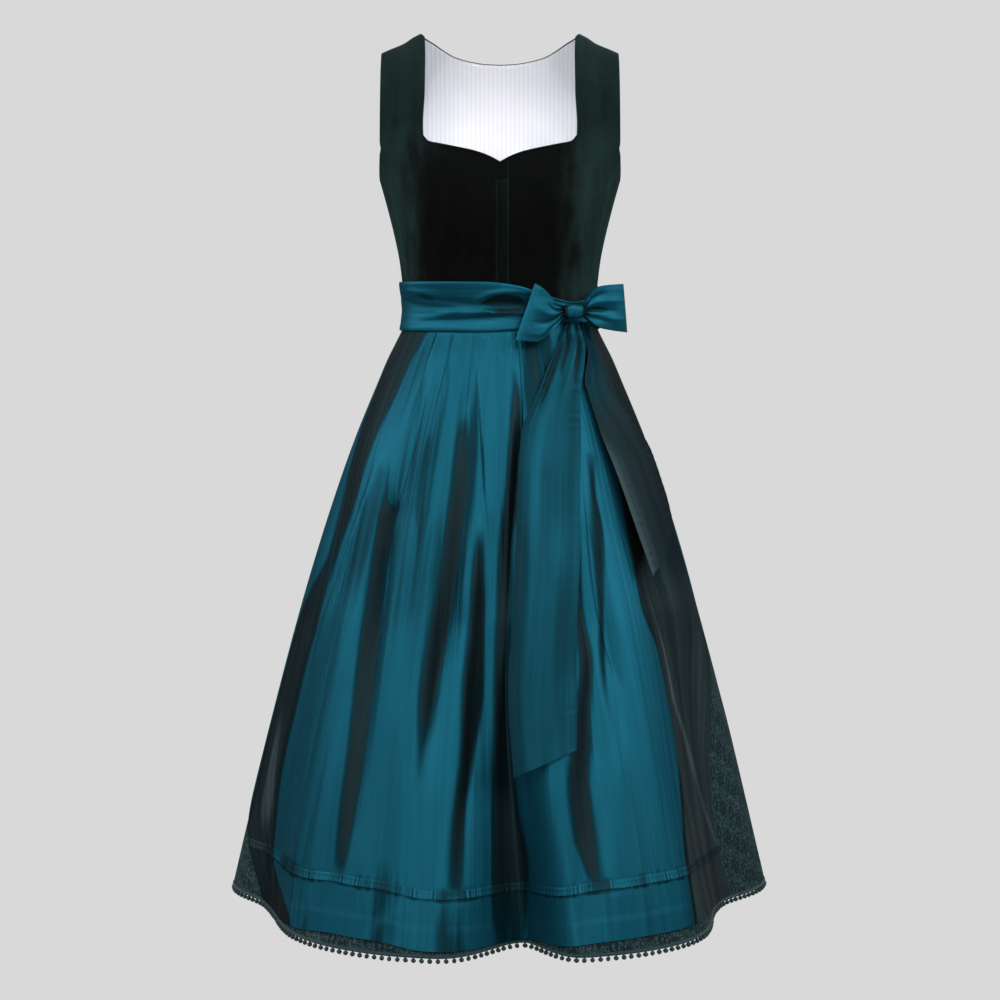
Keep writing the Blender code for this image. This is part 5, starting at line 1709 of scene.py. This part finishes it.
SASH_WIDTH, SASH_ROLL, SASH_EDGE, SASH_RADIUS = 64, 1.2, 2.5, 115
# Painted shade over the whole sash, and more of it in the sash's valleys
SASH_SHADE, VALLEY_SHADE = 0.12, 0.85


class DIRNDL_OT_sash(bpy.types.Operator):
    """Makes the sash all the way round, drawn together where it runs under the bow"""

    bl_idname = "dirndl.sash"
    bl_label = "Sash"

    def execute(self, context):
        wall = context.scene.dirndl_sizes.taffeta_thickness
        angle = -180 + 360 * np.arange(SASH_COLUMNS) / SASH_COLUMNS
        band = np.linspace(0, 1, SASH_ROWS)[:, None]
        top, end = smooth(SASH, "top", angle), smooth(SASH, "end", angle)
        drop = top + (end - top) * band
        turned = np.where(angle < BEHIND_RIGHT, angle + 360, angle)
        depth = creased(SASH_CREASES, turned, drop)
        roll = SASH_ROLL * (1 - ease(np.minimum(band, 1 - band) * SASH_WIDTH / SASH_EDGE))
        points = round_body(angle, body_radius(angle, drop) + SASH_OFF - depth - roll, drop)
        coords = uv(-drop, np.radians(angle) * SASH_RADIUS)
        cells = grid_cells(SASH_ROWS, SASH_COLUMNS, closed=True)
        # Painted shade: a little all over, more in the valleys and where the folds close
        dark = SASH_SHADE + VALLEY_SHADE * ease(depth / VALLEY_DEPTH)
        dark = np.maximum(dark, creased(SASH_SHADES, turned, drop))
        surface = (points, coords, cells, dark)
        piece = make_cloth("waist_sash", "taffeta", ["sash_taffeta"], wall, *surface)
        declare_cloth(["sash"])
        return {"FINISHED"}


def bow_point(along, out, up):
    """Points of the bow from its knot: along it to the wearer's left, out from it, and up."""
    turn = math.radians(BOW_TURN)
    x = KNOT_X + along * math.cos(turn) + out * math.sin(turn)
    y = KNOT_Y + along * math.sin(turn) - out * math.cos(turn)
    return place(x, y, KNOT_DROP - up)


LOOP_STEPS, LOOP_BANDS = 97, 41
LOOP_BULGE = 2.2
LOOP_HALF_LENGTH = 60
# Painted shade in a loop's creases, and a painted shadow near the knot over this share of the loop
LOOP_SHADE, KNOT_SHADOW = 0.9, 0.22


def make_loop(name, rows, creases, side, wall):
    """A loop of the sash that leaves the knot in front, turns at its tip and comes back behind."""
    across = np.linspace(0, 1, LOOP_BANDS)[:, None]
    way = math.pi * np.linspace(0, 1, LOOP_STEPS)
    share = np.sin(way) + 0 * across
    reach = LOOP_KNOT_DEPTH + (LOOP_MID_DEPTH - LOOP_KNOT_DEPTH) * ease(share)
    columns = ("top_along", "top_up", "low_along", "low_up")
    top_along, top_up, low_along, low_up = (smooth(rows, column, share) for column in columns)
    along = top_along + (low_along - top_along) * across
    up = top_up + (low_up - top_up) * across
    depth = creased(creases, share, across)
    bulge = LOOP_BULGE * np.sin(np.pi * across) * share
    points = bow_point(side * along, (reach + bulge - depth) * np.cos(way), up)
    cells = grid_cells(LOOP_BANDS, LOOP_STEPS)[:, ::side]
    coords = uv(-up, np.abs(way - math.pi / 2) * LOOP_HALF_LENGTH)
    dark = LOOP_SHADE * np.maximum(ease(depth / VALLEY_DEPTH), 1 - ease(share / KNOT_SHADOW))
    return make_cloth(name, "taffeta", ["bow_taffeta"], wall, points, coords, cells, dark)


KNOT_TURNS, KNOT_BANDS = 64, 29
KNOT_ROUNDNESS = 0.6
# The knot narrows towards its ends, more sharply just at them, and gets painted shade beyond this
# share.
KNOT_NARROWS, KNOT_END_NARROWS = 0.16, 0.22
KNOT_FOLD_OUT, KNOT_FOLD_UP = 0.6, 0.4
KNOT_DARK_FROM, KNOT_DARK_EASE = 0.66, 0.22
KNOT_END_SHADE, KNOT_FOLD_SHADE = 1.2, 0.15


def make_knot(wall):
    """The knot: a band of cloth wrapped round the middle of the bow, gathered lengthwise."""
    turn = 2 * np.pi * np.arange(KNOT_TURNS) / KNOT_TURNS
    across = np.linspace(-1, 1, KNOT_BANDS)[:, None]
    swell = 1 - KNOT_NARROWS * across**2 - KNOT_END_NARROWS * across**8
    gathers = np.cos(across * 6.0 + 0.5 * np.sin(2 * turn) + 0.6)
    folds = 0.7 * gathers + 0.3 * np.cos(across * 15 + turn)
    parts = (np.cos(turn), np.sin(turn))
    ahead, rise = (np.sign(part) * np.abs(part) ** KNOT_ROUNDNESS for part in parts)
    out = (KNOT_HALF_DEPTH * swell + KNOT_FOLD_OUT * folds) * ahead
    up = (KNOT_HALF_HEIGHT * swell + KNOT_FOLD_UP * folds) * rise
    points = bow_point(KNOT_HALF_WIDTH * across, out, up)
    cells = grid_cells(KNOT_BANDS, KNOT_TURNS, closed=True)[:, ::-1]
    coords = uv(across * KNOT_HALF_WIDTH, turn * 10)
    # Painted shade at the knot's ends and on its gathered folds
    ends = ease((np.abs(across) - KNOT_DARK_FROM) / KNOT_DARK_EASE)
    dark = KNOT_END_SHADE * ends + KNOT_FOLD_SHADE * ease(folds)
    return make_cloth("bow_wrap", "taffeta", ["bow_taffeta"], wall, points, coords, cells, dark)


class DIRNDL_OT_bow(bpy.types.Operator):
    """Makes the bow's two loops and its knot"""

    bl_idname = "dirndl.bow"
    bl_label = "Bow"

    def execute(self, context):
        wall = context.scene.dirndl_sizes.taffeta_thickness
        left = make_loop("bow_left", LOOP_LEFT, LOOP_LEFT_CREASES, 1, wall)
        declare_cloth(["bow_loop_left"])
        right = make_loop("bow_right", LOOP_RIGHT, LOOP_RIGHT_CREASES, -1, wall)
        declare_cloth(["bow_loop_right"])
        knot = make_knot(wall)
        declare_cloth(["bow_knot"])
        return {"FINISHED"}


TAIL_STEPS, TAIL_BANDS = 150, 45
TAIL_HEM_STEP, DRAWN = 0.50, 0.34
TAIL_FALL = 24
# Shares of a tail's width in from its edges: its hems, and the gathers that their stitching draws,
# which reach less far on the wearer's right
TAIL_HEM_AT, TAIL_HEM_EASE, DRAWN_AT = 0.09, 0.03, 0.1
DRAWN_RIGHT, DRAWN_LEFT = 0.06, 0.13
# A tail's right edge turns away from the light and gets painted shade, and the tail's painted shade
# changes between two of its rows; its drawn gathers add painted shade too.
ASIDE_SHADE, ASIDE_SHARE, GATHER_SHADE = 0.30, 0.30, 0.08
SHADE_FROM, SHADE_ROWS = 1.6, 2.4


def make_tail(name, rows, creases, wall, shade_high, shade_low):
    """A tail of the bow, from under the knot down over the apron."""
    down = np.linspace(0, len(rows) - 1, TAIL_STEPS)[:, None]
    across = np.linspace(0, 1, TAIL_BANDS)
    columns = (curve(range(len(rows)), column, down) for column in zip(*rows))
    before, drop_before, after, drop_after, off = columns
    angle = before + (after - before) * across
    drop = drop_before + (drop_after - drop_before) * across
    depth = creased(creases, down, across)
    edge = np.minimum(across, 1 - across)
    hem = TAIL_HEM_STEP * (1 - ease((edge - TAIL_HEM_AT) / TAIL_HEM_EASE))
    reach = np.where(across > 0.5, DRAWN_LEFT, DRAWN_RIGHT)
    uneven = 0.35 + 0.65 * wave(drop, 87) ** 2
    draw = DRAWN * wave(drop, 11, 2.6 * np.sin(drop / 29)) * uneven
    draw = draw * np.exp(-(((edge - DRAWN_AT) / reach) ** 2))
    near, low = body_radius(angle, drop), skirt_radius(angle, drop)
    radius = near + (low - near) * ease((drop - SASH_LOW_EDGE) / TAIL_FALL + 0.5)
    points = round_body(angle, radius + off - depth + hem + draw, drop)
    cells = grid_cells(TAIL_STEPS, TAIL_BANDS)
    coords = uv(across * TAIL_WIDTH / MM, -drop)
    # Painted shade: along the right edge, on the drawn gathers, over the whole tail and in its
    # creases
    aside = ASIDE_SHADE * (1 - ease(across / ASIDE_SHARE)) + GATHER_SHADE * draw
    shade = shade_high + (shade_low - shade_high) * ease((down - SHADE_FROM) / SHADE_ROWS)
    dark = np.maximum(shade + aside, ease(depth / VALLEY_DEPTH))
    return make_cloth(name, "taffeta", ["tail_taffeta"], wall, points, coords, cells, dark)


class DIRNDL_OT_tails(bpy.types.Operator):
    """Makes the two tails that hang from the bow"""

    bl_idname = "dirndl.tails"
    bl_label = "Tails"

    def execute(self, context):
        wall = context.scene.dirndl_sizes.taffeta_thickness
        front = make_tail("tail_over_front", TAIL_FRONT, TAIL_FRONT_CREASES, wall, 0.30, 0.44)
        declare_cloth(["tail_front"])
        side = make_tail("tail_over_side", TAIL_SIDE, TAIL_SIDE_CREASES, wall, 0.60, 1.42)
        declare_cloth(["tail_side"])
        return {"FINISHED"}


# Stage --------------------------------------------------------------------------------------------


def add_softbox(box, aim):
    """A rectangle of light that shines on a point and isn't seen itself."""
    lamp = bpy.data.lights.new(box.name, "AREA")
    lamp.shape = "RECTANGLE"
    lamp.size, lamp.size_y = box.width, box.height
    lamp.energy = box.watts
    obj = bpy.data.objects.new(box.name, lamp)
    turn, rise = math.radians(box.azimuth), math.radians(box.elevation)
    level = math.cos(rise)
    way = Vector((math.sin(turn) * level, -math.cos(turn) * level, math.sin(rise)))
    obj.location = aim + way * box.distance
    obj.rotation_euler = way.to_track_quat("Z", "Y").to_euler()
    obj.visible_camera = False
    bpy.context.scene.collection.objects.link(obj)
    return lamp


def backdrop_shader(owner, kind, seen, unseen, light):
    """Makes a surface one pale grey to the camera, and `light` to everything else."""
    owner.use_nodes = True
    tree = owner.node_tree
    tree.nodes.clear()
    kinds = ("ShaderNodeLightPath", "ShaderNodeMixShader", kind)
    path, mix, output = (tree.nodes.new(name) for name in kinds)
    tree.links.new(path.outputs["Is Camera Ray"], mix.inputs[0])
    for slot, name, grey in ((1, unseen, light), (2, seen, BACKDROP_GREY)):
        node = tree.nodes.new(name)
        node.inputs["Color"].default_value = (grey, grey, grey, 1.0)
        tree.links.new(node.outputs[0], mix.inputs[slot])
    tree.links.new(mix.outputs[0], output.inputs["Surface"])


class DIRNDL_OT_stage(bpy.types.Operator):
    """Makes the pale floor, the soft lights and the camera"""

    bl_idname = "dirndl.stage"
    bl_label = "Stage"

    def execute(self, context):
        scene = context.scene
        scene.view_settings.view_transform = "Standard"
        bpy.ops.object.select_all(action="DESELECT")
        bpy.ops.mesh.primitive_circle_add(
            vertices=96, radius=FLOOR_RADIUS, fill_type="NGON", location=(0, 0, -FLOOR_DROP)
        )
        floor = context.active_object
        bpy.ops.object.transform_apply(location=True)
        floor.name = "floor"
        pale = bpy.data.materials.new("pale_floor")
        looks = ("ShaderNodeOutputMaterial", "ShaderNodeEmission", "ShaderNodeBsdfDiffuse")
        backdrop_shader(pale, *looks, FLOOR_LIGHT)
        floor.data.materials.append(pale)

        scene.world = bpy.data.worlds.new("studio")
        looks = ("ShaderNodeOutputWorld", "ShaderNodeBackground", "ShaderNodeBackground")
        backdrop_shader(scene.world, *looks, WORLD_LIGHT)

        for box in SOFTBOXES:
            add_softbox(box, LIGHT_AIM)
        add_softbox(SNOOT, SNOOT_AIM).spread = math.radians(SNOOT_SPREAD)

        lens = bpy.data.cameras.new("camera")
        lens.lens = CAMERA_LENS
        lens.sensor_width = CAMERA_SENSOR
        camera = bpy.data.objects.new("camera", lens)
        camera.location = CAMERA_PLACE
        camera.rotation_euler = (math.radians(CAMERA_PITCH), 0, 0)
        scene.collection.objects.link(camera)
        scene.camera = camera
        return {"FINISHED"}


class DIRNDL_PT_dress(bpy.types.Panel):
    """Lists the dress's pieces and what can be changed on them"""

    bl_label = "Dirndl Dress"
    bl_space_type = "VIEW_3D"
    bl_region_type = "UI"
    bl_category = "Dirndl"

    def draw(self, context):
        layout = self.layout
        for group in (context.scene.dirndl_sizes, context.scene.dirndl_colours):
            for name in group.__annotations__:
                layout.prop(group, name)
        for piece in PIECES:
            layout.operator(piece.bl_idname)


PIECES = (
    DIRNDL_OT_stage,
    DIRNDL_OT_bodice,
    DIRNDL_OT_lining,
    DIRNDL_OT_placket,
    DIRNDL_OT_piping,
    DIRNDL_OT_skirt,
    DIRNDL_OT_hem_trim,
    DIRNDL_OT_apron,
    DIRNDL_OT_sash,
    DIRNDL_OT_bow,
    DIRNDL_OT_tails,
)
CLASSES = (DirndlSizes, DirndlColours, *PIECES, DIRNDL_PT_dress)


def register():
    for cls in CLASSES:
        bpy.utils.register_class(cls)
    bpy.types.Scene.dirndl_sizes = PointerProperty(type=DirndlSizes)
    bpy.types.Scene.dirndl_colours = PointerProperty(type=DirndlColours)


def unregister():
    del bpy.types.Scene.dirndl_colours
    del bpy.types.Scene.dirndl_sizes
    for cls in reversed(CLASSES):
        bpy.utils.unregister_class(cls)


def main():
    register()
    bpy.ops.dirndl.stage()
    bpy.ops.dirndl.bodice()
    bpy.ops.dirndl.lining()
    bpy.ops.dirndl.placket()
    bpy.ops.dirndl.piping()
    bpy.ops.dirndl.skirt()
    bpy.ops.dirndl.hem_trim()
    bpy.ops.dirndl.apron()
    bpy.ops.dirndl.sash()
    bpy.ops.dirndl.bow()
    bpy.ops.dirndl.tails()


if __name__ == "__main__":
    main()
